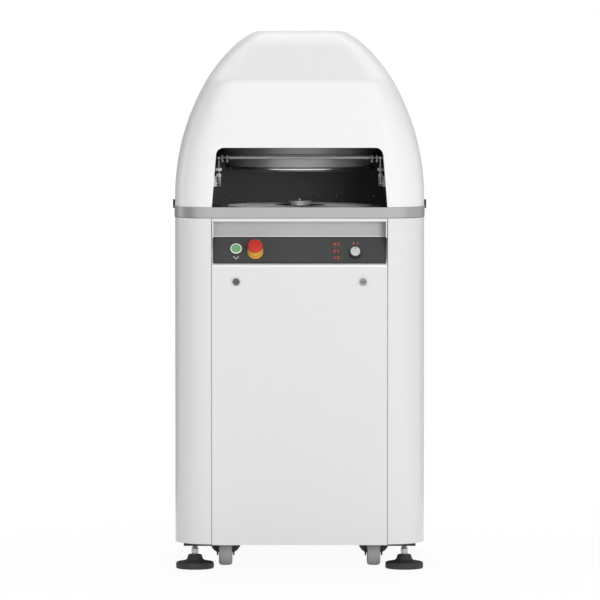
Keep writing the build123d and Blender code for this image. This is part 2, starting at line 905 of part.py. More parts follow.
# Press ring with its flange and the bosses that hang it from the head disc
ring_top = ring_bottom + ring_depth
with BuildPart() as press_ring:
    upright(ring_radius, ring_bottom, ring_top)
    fillet(press_ring.edges().filter_by(GeomType.CIRCLE).sort_by(Axis.Z)[0], ring_edge)
    upright(ring_radius + ring_flange, ring_top - ring_flange_thick, ring_top)
    upright(ring_radius - ring_wall, ring_bottom, ring_top, mode=Mode.SUBTRACT)
    with BuildSketch(Plane.XY.offset(ring_top)):
        with PolarLocations(ring_radius - ring_wall + ring_boss_radius, ring_boss_count):
            Circle(ring_boss_radius)
        Circle(ring_radius - ring_wall, mode=Mode.SUBTRACT)
        with BuildSketch(mode=Mode.PRIVATE) as flange_disc:
            Circle(ring_radius + ring_flange)
        add(flange_disc.sketch, mode=Mode.INTERSECT)
    extrude(amount=head_disc_bottom - ring_top)
save(press_ring, "press_ring")


def dividing_grid(width, reach):
    """Rings and spokes that divide the head into its portions."""
    for ring in (inner_ring_radius, middle_ring_radius):
        with BuildSketch(mode=Mode.PRIVATE) as band:
            Circle(ring + width / 2)
            Circle(ring - width / 2, mode=Mode.SUBTRACT)
        add(band.sketch)
    spokes = (
        (0, inner_ring_radius, inner_pads),
        (inner_ring_radius, middle_ring_radius, middle_pads),
        (middle_ring_radius, reach, outer_pads),
    )
    for start, end, count in spokes:
        with PolarLocations((start + end) / 2, count):
            Rectangle(end - start, width)


# Press pads, one for each portion, each on its post from the head disc
pad_reach = ring_radius - ring_wall - pad_side_gap
with BuildPart() as press_pads:
    with BuildSketch(Plane.XY.offset(pad_bottom)):
        with BuildSketch(mode=Mode.PRIVATE) as slots:
            dividing_grid(slot_width, ring_radius)
        Circle(pad_reach)
        add(slots.sketch, mode=Mode.SUBTRACT)
    extrude(amount=pad_thick)
    pad_rows = (
        (0, inner_ring_radius, inner_pads),
        (inner_ring_radius, middle_ring_radius, middle_pads),
        (middle_ring_radius, pad_reach, outer_pads),
    )
    for start, end, count in pad_rows:
        with BuildSketch(Plane.XY.offset(pad_bottom + pad_thick)):
            with PolarLocations((start + end) / 2, count, start_angle=180 / count):
                Circle(pad_post_radius)
        extrude(amount=head_disc_bottom - pad_bottom - pad_thick)
save(press_pads, "press_pads")

# Knife grid between the pads
with BuildPart() as knife_grid:
    with BuildSketch(Plane.XY.offset(blade_bottom)):
        dividing_grid(blade_width, pad_reach)
    extrude(amount=blade_height)
save(knife_grid, "knife_grid")

# Knife cylinder on the beam and the yoke that it moves
cylinder_head = beam_top + knife_cylinder_height
yoke_bottom = cylinder_head + cut_stroke + yoke_room
with BuildPart() as knife_cylinder:
    upright(knife_cylinder_radius, beam_top, cylinder_head)
    upright(knife_ram_radius + run_gap, beam_top, cylinder_head, mode=Mode.SUBTRACT)
save(knife_cylinder, "knife_cylinder")

with BuildPart() as knife_yoke:
    yoke_end = knife_rod_y + yoke_overhang
    yoke_top = yoke_bottom + yoke_thick
    block((-yoke_width / 2, yoke_width / 2), (-yoke_end, yoke_end), (yoke_bottom, yoke_top))
    upright(knife_ram_radius, beam_top + cut_stroke + free_gap, yoke_bottom)
    for sign in signs:
        upright(knife_rod_radius, blade_bottom + blade_height, yoke_bottom, 0, sign * knife_rod_y)
save(knife_yoke, "knife_yoke")

# Crosshead under the table and the hydraulic cylinder that pulls it down
with BuildPart() as crosshead:
    block(
        (-beam_length / 2, beam_length / 2),
        (-crosshead_width / 2, crosshead_width / 2),
        (crosshead_bottom, crosshead_top),
    )
    upright(piston_rod_radius + run_gap, crosshead_bottom, crosshead_top, mode=Mode.SUBTRACT)
    for sign in signs:
        upright(column_radius + run_gap, crosshead_bottom, crosshead_top, sign * column_x, 0, Mode.SUBTRACT)
save(crosshead, "crosshead")

piston_bottom = cylinder_top - cylinder_cap - piston_thick - cylinder_room
with BuildPart() as piston_rod:
    upright(piston_rod_radius, piston_bottom, crosshead_top)
    upright(piston_radius, piston_bottom, piston_bottom + piston_thick)
save(piston_rod, "piston_rod")

with BuildPart() as press_cylinder:
    cylinder_floor = piston_bottom - press_stroke - cylinder_room
    upright(piston_radius + cylinder_wall, base_top, cylinder_top)
    upright(cylinder_foot_radius, base_top, base_top + cylinder_foot_thick)
    upright(piston_radius + run_gap, cylinder_floor, cylinder_top - cylinder_cap, mode=Mode.SUBTRACT)
    upright(piston_rod_radius + run_gap, cylinder_floor, cylinder_top, mode=Mode.SUBTRACT)
save(press_cylinder, "press_cylinder")

# Hydraulic power pack: tank, pump motor and valve block
with BuildPart() as power_pack:
    tank_top = base_top + tank_height
    block((tank_x, tank_x + tank_width), (tank_y, tank_y + tank_depth), (base_top, tank_top))
    fillet(power_pack.edges().filter_by(Axis.Z), tank_corner)
    pump_x = tank_x + tank_width / 2
    pump_y = tank_y + pump_radius + pump_inset
    upright(pump_radius, tank_top, tank_top + pump_height, pump_x, pump_y)
    valve_y = tank_y + tank_depth - valve_size - pump_inset
    block(
        (pump_x - valve_size, pump_x + valve_size),
        (valve_y, valve_y + valve_size),
        (tank_top, tank_top + valve_size),
    )
save(power_pack, "power_pack")

# Electrical box on the base plate
with BuildPart() as electric_box:
    block((box_x, box_x + box_width), (box_y, box_y + box_depth), (base_top, base_top + box_height))
    fillet(electric_box.edges().filter_by(Axis.Z), box_corner)
save(electric_box, "electric_box")

# Levelling feet: pad with a ball socket, and the threaded stem with its hexagon
for side, sign in sides:
    with BuildPart() as foot:
        foot_place = (sign * foot_x, foot_y)
        upright(foot_radius, 0, foot_thick, *foot_place)
        chamfer(foot.edges().filter_by(GeomType.CIRCLE).sort_by(Axis.Z)[0], foot_sole_edge)
        fillet(foot.edges().filter_by(GeomType.CIRCLE).sort_by(Axis.Z)[-1], foot_edge)
        upright(foot_hub_radius, foot_thick, foot_hub_height, *foot_place)
        upright(foot_stem_radius + free_gap, foot_ball_height, foot_hub_height, *foot_place, Mode.SUBTRACT)
        with Locations((*foot_place, foot_ball_height)):
            Sphere(foot_ball_radius + fit_gap, mode=Mode.SUBTRACT)
    with BuildPart() as foot_stem:
        with Locations((*foot_place, foot_ball_height)):
            Sphere(foot_ball_radius)
        upright(foot_stem_radius, foot_ball_height, base_bottom - free_gap, *foot_place)
        with BuildSketch(Plane.XY.offset(foot_hex_bottom)):
            with Locations(foot_place):
                RegularPolygon(foot_hex_radius, 6, major_radius=False)
        extrude(amount=foot_hex_top - foot_hex_bottom)
    with BuildPart() as levelling_foot:
        add(foot.part)
        add(foot_stem.part)
    save(levelling_foot, f"foot_{side}")


def fork_leg_pair(x, y, axle_z, crown_bottom):
    """Two fork legs astride a wheel that flare out to the crown, with the axle between them."""
    leg_inner = wheel_width / 2 + fork_side_gap
    leg_outer = leg_inner + fork_leg
    knee = axle_z + fork_knee
    flared = knee + fork_flare_height
    for sign in signs:
        with BuildSketch(Plane.XZ.offset(-y - fork_leg_depth / 2)) as leg:
            with BuildLine():
                Polyline(
                    (x + sign * leg_inner, axle_z - wheel_bore),
                    (x + sign * leg_outer, axle_z - wheel_bore),
                    (x + sign * leg_outer, knee),
                    (x + sign * (leg_outer + fork_flare), flared),
                    (x + sign * (leg_outer + fork_flare), crown_bottom),
                    (x + sign * (leg_inner + fork_flare), crown_bottom),
                    (x + sign * (leg_inner + fork_flare), flared),
                    (x + sign * leg_inner, knee),
                    close=True,
                )
            make_face()
        add(extrude(leg.sketch, amount=fork_leg_depth, mode=Mode.PRIVATE))
    crosswise(wheel_bore / 2, x - leg_outer, x + leg_outer, y, axle_z)


# Front castors: forks that swivel on stems through the base plate
front_axle_z = wheel_radius + front_lift
crown_top = base_bottom - seat_gap
crown_bottom = crown_top - crown_thick
front_wheel_y = front_castor_y - castor_trail
castor_nut_bottom = base_top + seat_gap
fork_half_width = wheel_width / 2 + fork_side_gap + fork_leg + fork_flare
for side, sign in sides:
    with BuildPart() as fork:
        place = (sign * castor_x, front_castor_y)
        upright(crown_radius, crown_bottom, crown_top, *place)
        upright(castor_stem_radius, crown_top, castor_nut_bottom, *place)
        upright(castor_nut_radius, castor_nut_bottom, castor_nut_bottom + castor_nut_thick, *place)
        fork_leg_pair(sign * castor_x, front_wheel_y, front_axle_z, crown_bottom)
        block(
            (sign * castor_x - fork_half_width, sign * castor_x + fork_half_width),
            (front_wheel_y - fork_leg_depth / 2, front_castor_y),
            (crown_bottom, crown_top),
        )
    save(fork, f"castor_fork_{side}")

# Rear castors: fixed forks under the base plate
with BuildPart() as rear_castor_forks:
    for sign in signs:
        upright(crown_radius, base_bottom - crown_thick, base_bottom, sign * castor_x, rear_castor_y)
        fork_leg_pair(sign * castor_x, rear_castor_y, wheel_radius, base_bottom - crown_thick)
save(rear_castor_forks, "rear_castor_forks")

# Castor wheels
wheel_places = (("front", front_wheel_y, front_axle_z), ("rear", rear_castor_y, wheel_radius))
for row, wheel_y, axle_z in wheel_places:
    for side, sign in sides:
        with BuildPart() as wheel:
            middle = sign * castor_x
            crosswise(wheel_radius, middle - wheel_width / 2, middle + wheel_width / 2, wheel_y, axle_z)
            fillet(wheel.edges().filter_by(GeomType.CIRCLE), tyre_edge)
            crosswise(
                wheel_bore / 2 + run_gap,
                middle - wheel_width / 2,
                middle + wheel_width / 2,
                wheel_y,
                axle_z,
                Mode.SUBTRACT,
            )
        save(wheel, f"{row}_wheel_{side}")

# Hood: moulded shell, lofted through level sections whose front follows its side profile
side_turn = radians(hood_side_turn)
side_x = half_width - hood_side_radius
crown_x = side_x + (hood_side_radius - hood_crown_radius) * cos(side_turn)
crown_z = hood_side_straight + (hood_side_radius - hood_crown_radius) * sin(side_turn)
side_shoulder_z = hood_height - hood_side_shoulder
crown_reach = hood_crown_radius - hood_side_shoulder
crown_turn = asin((side_shoulder_z - crown_z) / crown_reach)
side_shoulder_x = crown_x + crown_reach * cos(crown_turn)
slope = radians(hood_slope_angle)
bend_tangent = hood_bend_radius * tan(slope / 2)
front_shoulder_z = hood_height - hood_front_shoulder
front_shoulder_y = front_y + (hood_front_shoulder + (front_shoulder_z - hood_bend_height) * sin(slope)) / cos(slope)
rear_shoulder_z = hood_height - hood_rear_shoulder


def hood_front(inset):
    """Front profile, as (y, height) stations from the rim to the flat top."""
    wall_y = front_y + inset
    bend_z = hood_bend_height - bend_tangent
    bend_radius = hood_bend_radius - inset
    bend_y = front_y + hood_bend_radius
    shoulder = hood_front_shoulder - inset
    stations = [(wall_y, bend_z * step / hood_wall_steps) for step in range(hood_wall_steps)]
    for step in range(hood_bend_steps + 1):
        turn = slope * step / hood_bend_steps
        stations.append((bend_y - bend_radius * cos(turn), bend_z + bend_radius * sin(turn)))
    for step in range(hood_shoulder_steps + 1):
        turn = slope + (radians(90) - slope) * step / hood_shoulder_steps
        stations.append((front_shoulder_y - shoulder * cos(turn), front_shoulder_z + shoulder * sin(turn)))
    return stations


def hood_half_width(height, inset):
    """Half the hood's width at a height above its rim."""
    if height <= hood_side_straight:
        return half_width - inset
    side, crown, shoulder = (
        radius - inset for radius in (hood_side_radius, hood_crown_radius, hood_side_shoulder)
    )
    if height <= hood_side_straight + side * sin(side_turn):
        return side_x + sqrt(side**2 - (height - hood_side_straight) ** 2)
    if height <= crown_z + crown * sin(crown_turn):
        return crown_x + sqrt(crown**2 - (height - crown_z) ** 2)
    return side_shoulder_x + sqrt(max(shoulder**2 - (height - side_shoulder_z) ** 2, 0))


def hood_rear(height, inset):
    """Rear face of the hood at a height above its rim."""
    shoulder = hood_rear_shoulder - inset
    rise = max(height - rear_shoulder_z, 0)
    return rear_y - hood_rear_shoulder + sqrt(max(shoulder**2 - rise**2, 0))


def hood_section(station, inset):
    """Level section of the hood at one station of its front profile."""
    front, height = station
    rear = hood_rear(height, inset)
    front_corner = front_radius - inset - hood_corner_taper * height
    with BuildSketch(Plane.XY.offset(hood_bottom + height)) as section:
        with Locations((0, (front + rear) / 2)):
            Rectangle(2 * hood_half_width(height, inset), rear - front)
        fillet(section.vertices().group_by(Axis.Y)[0], front_corner)
        fillet(section.vertices().group_by(Axis.Y)[-1], rear_radius - inset)
    return section.sketch.faces()[0]


with BuildPart() as hood_shell:
    loft([hood_section(station, 0) for station in hood_front(0)])
    loft([hood_section(station, hood_wall) for station in hood_front(hood_wall)], mode=Mode.SUBTRACT)
    with BuildSketch(Plane.XZ.offset(-front_y - mouth_cut)) as mouth:
        with BuildLine():
            Polyline(
                (-mouth_half_width, hood_bottom),
                (-mouth_half_width + mouth_taper, hood_bottom + mouth_height),
                (mouth_half_width - mouth_taper, hood_bottom + mouth_height),
                (mouth_half_width, hood_bottom),
                close=True,
            )
        make_face()
        fillet(mouth.vertices().group_by(Axis.Y)[-1], mouth_corner)
    extrude(amount=mouth_cut + hood_wall, mode=Mode.SUBTRACT)
save(hood_shell, "hood_shell")

# Hood catches: moulded grips on the hood that hang over the band
with BuildPart() as hood_catches:
    catch_top = band_top + catch_height / 2
    for sign in signs:
        block(
            (sign * (half_width + band_proud + seat_gap), sign * (half_width + band_proud + catch_proud)),
            (catch_y - catch_length / 2, catch_y + catch_length / 2),
            (catch_top - catch_height, catch_top),
        )
        block(
            (sign * half_width, sign * (half_width + band_proud + catch_proud)),
            (catch_y - catch_length / 2, catch_y + catch_length / 2),
            (hood_bottom + seat_gap, catch_top),
        )
save(hood_catches, "hood_catches")

# Hood hinge: ears and pins on the band, leaves on the hood
ear_offset = (knuckle_length + ear_length) / 2 + seat_gap
with BuildPart() as hinge_brackets:
    for sign in signs:
        for end in signs:
            middle = sign * hinge_x + end * ear_offset
            crosswise(hinge_barrel_radius, middle - ear_length / 2, middle + ear_length / 2, hinge_y, hinge_z)
            block(
                (middle - ear_length / 2, middle + ear_length / 2),
                (rear_y + band_proud, hinge_y),
                (band_top - ear_drop, band_top - ear_notch),
            )
            block(
                (middle - ear_length / 2, middle + ear_length / 2),
                (hinge_y - ear_thick, hinge_y),
                (band_top - ear_drop, hinge_z),
            )
        pin_start = sign * hinge_x - ear_offset - ear_length / 2
        crosswise(hinge_pin_radius, pin_start, 2 * sign * hinge_x - pin_start, hinge_y, hinge_z)
save(hinge_brackets, "hinge_brackets")

with BuildPart() as hood_hinges:
    for sign in signs:
        left_end = sign * hinge_x - knuckle_length / 2
        right_end = sign * hinge_x + knuckle_length / 2
        leaf_bottom = hinge_z + hinge_barrel_radius + free_gap
        crosswise(hinge_barrel_radius, left_end, right_end, hinge_y, hinge_z)
        block((left_end, right_end), (rear_y, hinge_y), (hinge_z, leaf_bottom + leaf_thick))
        block(
            (sign * hinge_x - leaf_width / 2, sign * hinge_x + leaf_width / 2),
            (rear_y, rear_y + leaf_thick),
            (leaf_bottom, leaf_bottom + leaf_height),
        )
        crosswise(hinge_pin_radius + run_gap, left_end, right_end, hinge_y, hinge_z, Mode.SUBTRACT)
save(hood_hinges, "hood_hinges")
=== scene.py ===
"""Looks of a free-standing dough divider rounder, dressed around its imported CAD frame."""

from __future__ import annotations

import json
import logging
import math
from dataclasses import dataclass, field
from enum import Enum
from functools import cache
from typing import Any, Iterable, Sequence, Union

import bmesh
import bpy
from bmesh.types import BMEdge, BMFace, BMVert
from mathutils import Matrix, Vector

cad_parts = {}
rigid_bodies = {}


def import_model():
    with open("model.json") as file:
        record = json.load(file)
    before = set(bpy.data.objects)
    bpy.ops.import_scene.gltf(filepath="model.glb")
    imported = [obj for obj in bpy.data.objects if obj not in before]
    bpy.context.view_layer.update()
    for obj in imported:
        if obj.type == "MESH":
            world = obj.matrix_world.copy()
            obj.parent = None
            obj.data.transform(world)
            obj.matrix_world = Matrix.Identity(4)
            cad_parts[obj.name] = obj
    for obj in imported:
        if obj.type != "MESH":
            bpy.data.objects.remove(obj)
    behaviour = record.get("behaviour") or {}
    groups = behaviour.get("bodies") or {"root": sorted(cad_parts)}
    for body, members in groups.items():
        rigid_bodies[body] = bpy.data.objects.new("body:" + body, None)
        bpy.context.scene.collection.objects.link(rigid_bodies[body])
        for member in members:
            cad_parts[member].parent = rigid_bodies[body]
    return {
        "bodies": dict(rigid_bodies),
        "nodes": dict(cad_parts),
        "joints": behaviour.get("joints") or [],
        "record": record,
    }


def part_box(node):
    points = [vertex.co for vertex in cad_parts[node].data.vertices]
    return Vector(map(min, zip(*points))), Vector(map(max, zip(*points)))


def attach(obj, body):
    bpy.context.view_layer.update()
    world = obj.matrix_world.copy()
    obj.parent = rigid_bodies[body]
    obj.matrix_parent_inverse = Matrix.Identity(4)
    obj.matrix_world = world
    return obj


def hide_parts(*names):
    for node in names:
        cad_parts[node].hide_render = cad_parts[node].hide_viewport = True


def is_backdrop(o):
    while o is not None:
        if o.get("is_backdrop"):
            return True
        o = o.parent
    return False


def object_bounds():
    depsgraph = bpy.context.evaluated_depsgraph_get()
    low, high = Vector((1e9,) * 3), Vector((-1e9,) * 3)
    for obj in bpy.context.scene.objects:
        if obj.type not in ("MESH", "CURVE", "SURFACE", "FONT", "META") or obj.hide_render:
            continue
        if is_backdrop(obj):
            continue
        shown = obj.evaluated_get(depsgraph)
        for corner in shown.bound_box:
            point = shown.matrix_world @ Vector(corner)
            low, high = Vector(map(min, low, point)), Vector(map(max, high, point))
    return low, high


log = logging.getLogger("divider_rounder")

Colour = tuple[float, float, float]
Point = Sequence[float]
Profile = tuple[tuple[float, ...], ...]
MM = 0.001
X_AXIS = Vector((1.0, 0.0, 0.0))
Y_AXIS = Vector((0.0, 1.0, 0.0))
Z_AXIS = Vector((0.0, 0.0, 1.0))
WHITE = (1.0, 1.0, 1.0)
SIDES = (-1, 1)


def mm(*points: Point) -> Profile:
    """Points given in millimetres, as metres."""
    return tuple(tuple(value * MM for value in point) for point in points)


def grey(level: float, cool: float = 0.0) -> Colour:
    """A grey, with a little more blue where it is cool."""
    return (level, level, level + cool)


def tinted(colour: Colour, factor: float) -> Colour:
    """A colour made lighter or darker by a factor."""
    return tuple(min(channel * factor, 1.0) for channel in colour)


class Wire:
    """A node's output socket that stands in Python sums."""

    def __init__(self, canvas: Canvas, socket: bpy.types.NodeSocket | None) -> None:
        """Hold a socket and the canvas it is on."""
        self.canvas = canvas
        self.socket = socket

    def maths(self, operation: str, other: Value) -> Wire:
        """A Math node of this and another value."""
        return self.canvas.node("ShaderNodeMath", {"operation": operation}, {0: self, 1: other})

    def __add__(self, other: Value) -> Wire:
        """Sum."""
        return self.maths("ADD", other)

    def __mul__(self, other: Value) -> Wire:
        """Product."""
        return self.maths("MULTIPLY", other)

    __radd__ = __add__
    __rmul__ = __mul__

    def at_most(self, ceiling: float) -> Wire:
        """The smaller of this and a number."""
        return self.maths("MINIMUM", ceiling)


Value = Union[Wire, float, Sequence[float]]


def about(level: float, *spreads: tuple[Wire, float]) -> Wire:
    """A level that noises from nought to one spread evenly, each by its own width."""
    return sum((noise * width for noise, width in spreads), level - sum(width for _, width in spreads) / 2)


class Canvas:
    """The node tree of one material or world."""

    def __init__(self, tree: bpy.types.NodeTree) -> None:
        """Start from an empty tree."""
        self.tree = tree
        tree.nodes.clear()

    def node(
        self,
        kind: str,
        settings: dict[str, Any] | None = None,
        inputs: dict[Union[str, int], Value] | None = None,
        output: Union[str, int] = 0,
    ) -> Wire:
        """Add a node of any type.

        Args:
            kind: The node's type.
            settings: Its own settings, set first; stops are a ramp's places and greys.
            inputs: Values or wires for its sockets.
            output: The socket that the result is read from.

        Returns:
            The wire of that output.
        """
        made = self.tree.nodes.new(kind)
        for name, value in (settings or {}).items():
            if name == "stops":
                self._set_stops(made.color_ramp, value)
            else:
                setattr(made, name, value)
        for key, value in (inputs or {}).items():
            socket = made.inputs[key]
            if isinstance(value, Wire):
                self.tree.links.new(value.socket, socket)
            elif socket.type == "RGBA" and len(value) == 3:
                socket.default_value = (*value, 1.0)
            else:
                socket.default_value = value
        return Wire(self, made.outputs[output] if made.outputs else None)

    @staticmethod
    def _set_stops(ramp: bpy.types.ColorRamp, stops: Sequence[tuple[float, float]]) -> None:
        """Give a ramp its grey stops.

        Args:
            ramp: A new ramp.
            stops: The place and the level of each stop.
        """
        while len(ramp.elements) < len(stops):
            ramp.elements.new(1.0)
        for element, (place, level) in zip(ramp.elements, stops):
            element.position = place
            element.color = (*grey(level), 1.0)

    def place(self, scale: Point = (1.0, 1.0, 1.0)) -> Wire:
        """Object coordinates, stretched by a Mapping node."""
        inputs = {"Vector": self.node("ShaderNodeTexCoord", output="Object"), "Scale": scale}
        return self.node("ShaderNodeMapping", {"vector_type": "POINT"}, inputs)

    def noise(self, place: Wire, scale: float, detail: float = 2.0, rough: float = 0.5) -> Wire:
        """Soft noise from nought to one."""
        inputs = {"Vector": place, "Scale": scale, "Detail": detail, "Roughness": rough}
        return self.node("ShaderNodeTexNoise", inputs=inputs, output="Fac")

    def step(self, value: Wire, low: float, high: float) -> Wire:
        """Spread a band of a value over nought to one."""
        return self.node("ShaderNodeValToRGB", {"stops": ((low, 0.0), (high, 1.0))}, {0: value})

    def mix(self, factor: Value, first: Value, second: Value) -> Wire:
        """Blend two colours."""
        return self.node("ShaderNodeMix", {"data_type": "RGBA"}, {0: factor, 6: first, 7: second}, output=2)

    def bump(self, height: Wire, depth: float, strength: float = 1.0, under: Wire | None = None) -> Wire:
        """Turn a height into a normal.

        Args:
            height: Height from nought to one.
            depth: What a height of one stands for, in metres.
            strength: Share of the effect.
            under: A normal to lay it on.

        Returns:
            The bent normal.
        """
        inputs = {"Height": height, "Distance": depth, "Strength": strength}
        if under is not None:
            inputs["Normal"] = under
        return self.node("ShaderNodeBump", inputs=inputs)

    def glow(self, colour: Colour) -> Wire:
        """A shader that shows one colour in any light."""
        return self.node("ShaderNodeEmission", inputs={"Color": colour, "Strength": 1.0})

    def show(self, shader: Wire) -> None:
        """Close a material's tree with a shader."""
        self.node("ShaderNodeOutputMaterial", inputs={"Surface": shader})

    def surface(self, sockets: dict[str, Value]) -> None:
        """Close a material's tree with one Principled shader."""
        self.show(self.node("ShaderNodeBsdfPrincipled", inputs=sockets))


def new_material(name: str) -> tuple[bpy.types.Material, Canvas]:
    """Start a material.

    Args:
        name: Its name.

    Returns:
        The material and its empty canvas.
    """
    made = bpy.data.materials.new(name)
    made.use_nodes = True
    return made, Canvas(made.node_tree)


class Grain(Enum):
    """Direction of a brushed grain, as the stretch of its noise along X, Y and Z."""

    ROUND_THE_BODY = (5.0, 5.0, 900.0)
    ALONG_X = (5.0, 800.0, 800.0)
    UPRIGHT = (700.0, 700.0, 5.0)


@dataclass(frozen=True)
class Finish:
    """A surface finish that is made once as a material. Scales are per metre, depths in metres."""

    name: str
    colour: Colour

    def paint(self, canvas: Canvas) -> None:
        """Draw the finish on an empty canvas."""
        raise NotImplementedError

    def shade(self, canvas: Canvas, share: Wire, dark: float, light: float) -> Wire:
        """The finish's colour, from a darker to a lighter tone of it."""
        return canvas.mix(share, tinted(self.colour, dark), tinted(self.colour, light))

    @cache
    def material(self) -> bpy.types.Material:
        """Make the material, once.

        Returns:
            The finished material.
        """
        made, canvas = new_material(self.name)
        made.diffuse_color = (*self.colour, 1.0)
        self.paint(canvas)
        return made


@dataclass(frozen=True)
class Enamel(Finish):
    """Baked enamel on sheet: a faint orange peel and a broad drift of tone."""

    roughness: float = 0.32
    rough_spread: float = 0.10
    smear_scale: float = 11.0
    drift: float = 0.012
    drift_scale: float = 2.2
    peel_scale: float = 420.0
    peel_depth: float = 0.00012
    coat: float = 0.25
    coat_roughness: float = 0.12

    def paint(self, canvas: Canvas) -> None:
        """Draw the enamel.

        Args:
            canvas: An empty canvas.
        """
        place = canvas.place()
        cloud = canvas.noise(place, self.drift_scale, 3.0)
        smear = canvas.noise(place, self.smear_scale, 4.0)
        peel = canvas.noise(place, self.peel_scale, 1.0)
        canvas.surface({
            "Base Color": self.shade(canvas, cloud, 1 - self.drift, 1 + self.drift),
            "Roughness": about(self.roughness, (smear, self.rough_spread)),
            "Normal": canvas.bump(peel, self.peel_depth, 0.5),
            "Coat Weight": self.coat,
            "Coat Roughness": self.coat_roughness,
        })


@dataclass(frozen=True)
class Moulding(Finish):
    """Glossy moulded shell with a slow ripple from its mould."""

    roughness: float = 0.22
    rough_spread: float = 0.08
    wipe_scale: float = 18.0
    drift_scale: float = 1.8
    dark: float = 0.988
    light: float = 1.008
    ripple_scale: float = 7.0
    ripple_depth: float = 0.0004
    grain_scale: float = 600.0
    grain_depth: float = 0.00003
    coat: float = 0.3
    coat_roughness: float = 0.08

    def paint(self, canvas: Canvas) -> None:
        """Draw the moulding.

        Args:
            canvas: An empty canvas.
        """
        place = canvas.place()
        cloud = canvas.noise(place, self.drift_scale, 2.0)
        wipe = canvas.noise(place, self.wipe_scale, 3.0)
        ripple = canvas.bump(canvas.noise(place, self.ripple_scale, 1.0), self.ripple_depth, 0.5)
        grain = canvas.noise(place, self.grain_scale, 2.0)
        canvas.surface({
            "Base Color": self.shade(canvas, cloud, self.dark, self.light),
            "Roughness": about(self.roughness, (wipe, self.rough_spread)),
            "Normal": canvas.bump(grain, self.grain_depth, 0.4, ripple),
            "Coat Weight": self.coat,
            "Coat Roughness": self.coat_roughness,
        })


@dataclass(frozen=True)
class BrushedSteel(Finish):
    """Steel with a one-way brushed grain."""

    grain: Grain = Grain.ROUND_THE_BODY
    roughness: float = 0.32
    contrast: float = 0.10
    metallic: float = 1.0
    depth: float = 0.00004
    grain_spread: float = 0.14
    stain_spread: float = 0.10
    stain_scale: float = 9.0

    def paint(self, canvas: Canvas) -> None:
        """Draw the brushed steel.

        Args:
            canvas: An empty canvas.
        """
        grain = canvas.noise(canvas.place(self.grain.value), 1.0, 4.0, 0.65)
        stain = canvas.noise(canvas.place(), self.stain_scale, 4.0)
        canvas.surface({
            "Base Color": self.shade(canvas, grain, 1 - self.contrast, 1 + self.contrast),
            "Metallic": self.metallic,
            "Roughness": about(self.roughness, (grain, self.grain_spread), (stain, self.stain_spread)),
            "Normal": canvas.bump(grain, self.depth, 0.6),
        })


@dataclass(frozen=True)
class RayGround(Finish):
    """A pale plate ground in fine rays from an upright axis."""

    roughness: float = 0.50
    rough_spread: float = 0.12
    smear_scale: float = 14.0
    dark: float = 0.86
    light: float = 1.08
    rays: float = 150.0
    depth: float = 0.0001

    def paint(self, canvas: Canvas) -> None:
        """Draw the ground plate.

        Args:
            canvas: An empty canvas.
        """
        flat = canvas.place((1.0, 1.0, 0.0))
        heading = canvas.node("ShaderNodeVectorMath", {"operation": "NORMALIZE"}, {0: flat})
        rays = canvas.noise(heading, self.rays, 2.0)
        smear = canvas.noise(canvas.place(), self.smear_scale, 4.0)
        canvas.surface({
            "Base Color": self.shade(canvas, rays, self.dark, self.light),
            "Roughness": about(self.roughness, (rays, self.rough_spread), (smear, self.rough_spread)),
            "Normal": canvas.bump(rays, self.depth),
        })


@dataclass(frozen=True)
class Plastic(Finish):
    """Moulded plastic with a fine spark-eroded grain."""

    roughness: float = 0.45
    coat: float = 0.0
    coat_roughness: float = 0.1
    rough_spread: float = 0.14
    wipe_scale: float = 25.0
    dark: float = 0.94
    light: float = 1.05
    grain_scale: float = 1400.0
    grain_depth: float = 0.00005

    def paint(self, canvas: Canvas) -> None:
        """Draw the plastic.

        Args:
            canvas: An empty canvas.
        """
        place = canvas.place()
        wipe = canvas.noise(place, self.wipe_scale, 4.0)
        grain = canvas.noise(place, self.grain_scale, 2.0)
        canvas.surface({
            "Base Color": self.shade(canvas, wipe, self.dark, self.light),
            "Roughness": about(self.roughness, (wipe, self.rough_spread)),
            "Normal": canvas.bump(grain, self.grain_depth, 0.4),
            "Coat Weight": self.coat,
            "Coat Roughness": self.coat_roughness,
        })


@dataclass(frozen=True)
class Rubber(Finish):
    """Dull rubber with patches of floor dust."""

    dust: Colour = grey(0.20)
    dust_share: float = 0.25
    dust_scale: float = 38.0
    dust_from: float = 0.48
    dust_to: float = 0.78
    roughness: float = 0.65
    rough_spread: float = 0.2
    wipe_scale: float = 60.0
    grain_scale: float = 900.0
    grain_depth: float = 0.0001

    def paint(self, canvas: Canvas) -> None:
        """Draw the rubber.

        Args:
            canvas: An empty canvas.
        """
        place = canvas.place()
        cloud = canvas.noise(place, self.dust_scale, 6.0, 0.6)
        wipe = canvas.noise(place, self.wipe_scale, 3.0)
        grain = canvas.noise(place, self.grain_scale, 3.0)
        dust = canvas.step(cloud, self.dust_from, self.dust_to) * self.dust_share
        canvas.surface({
            "Base Color": canvas.mix(dust, self.colour, self.dust),
            "Roughness": about(self.roughness, (wipe, self.rough_spread)),
            "Normal": canvas.bump(grain, self.grain_depth, 0.5),
        })


@dataclass(frozen=True)
class CastMetal(Finish):
    """Sand-cast or forged metal, painted or bare."""

    roughness: float = 0.55
    metallic: float = 0.6
    pebble_depth: float = 0.0003
    pebble_scale: float = 240.0
    rough_spread: float = 0.16
    stain_scale: float = 12.0
    dark: float = 0.82
    light: float = 1.12

    def paint(self, canvas: Canvas) -> None:
        """Draw the casting.

        Args:
            canvas: An empty canvas.
        """
        place = canvas.place()
        pebble = canvas.noise(place, self.pebble_scale, 5.0, 0.6)
        stain = canvas.noise(place, self.stain_scale, 4.0)
        canvas.surface({
            "Base Color": self.shade(canvas, stain, self.dark, self.light),
            "Metallic": self.metallic,
            "Roughness": about(self.roughness, (stain, self.rough_spread)),
            "Normal": canvas.bump(pebble, self.pebble_depth, 0.5),
        })


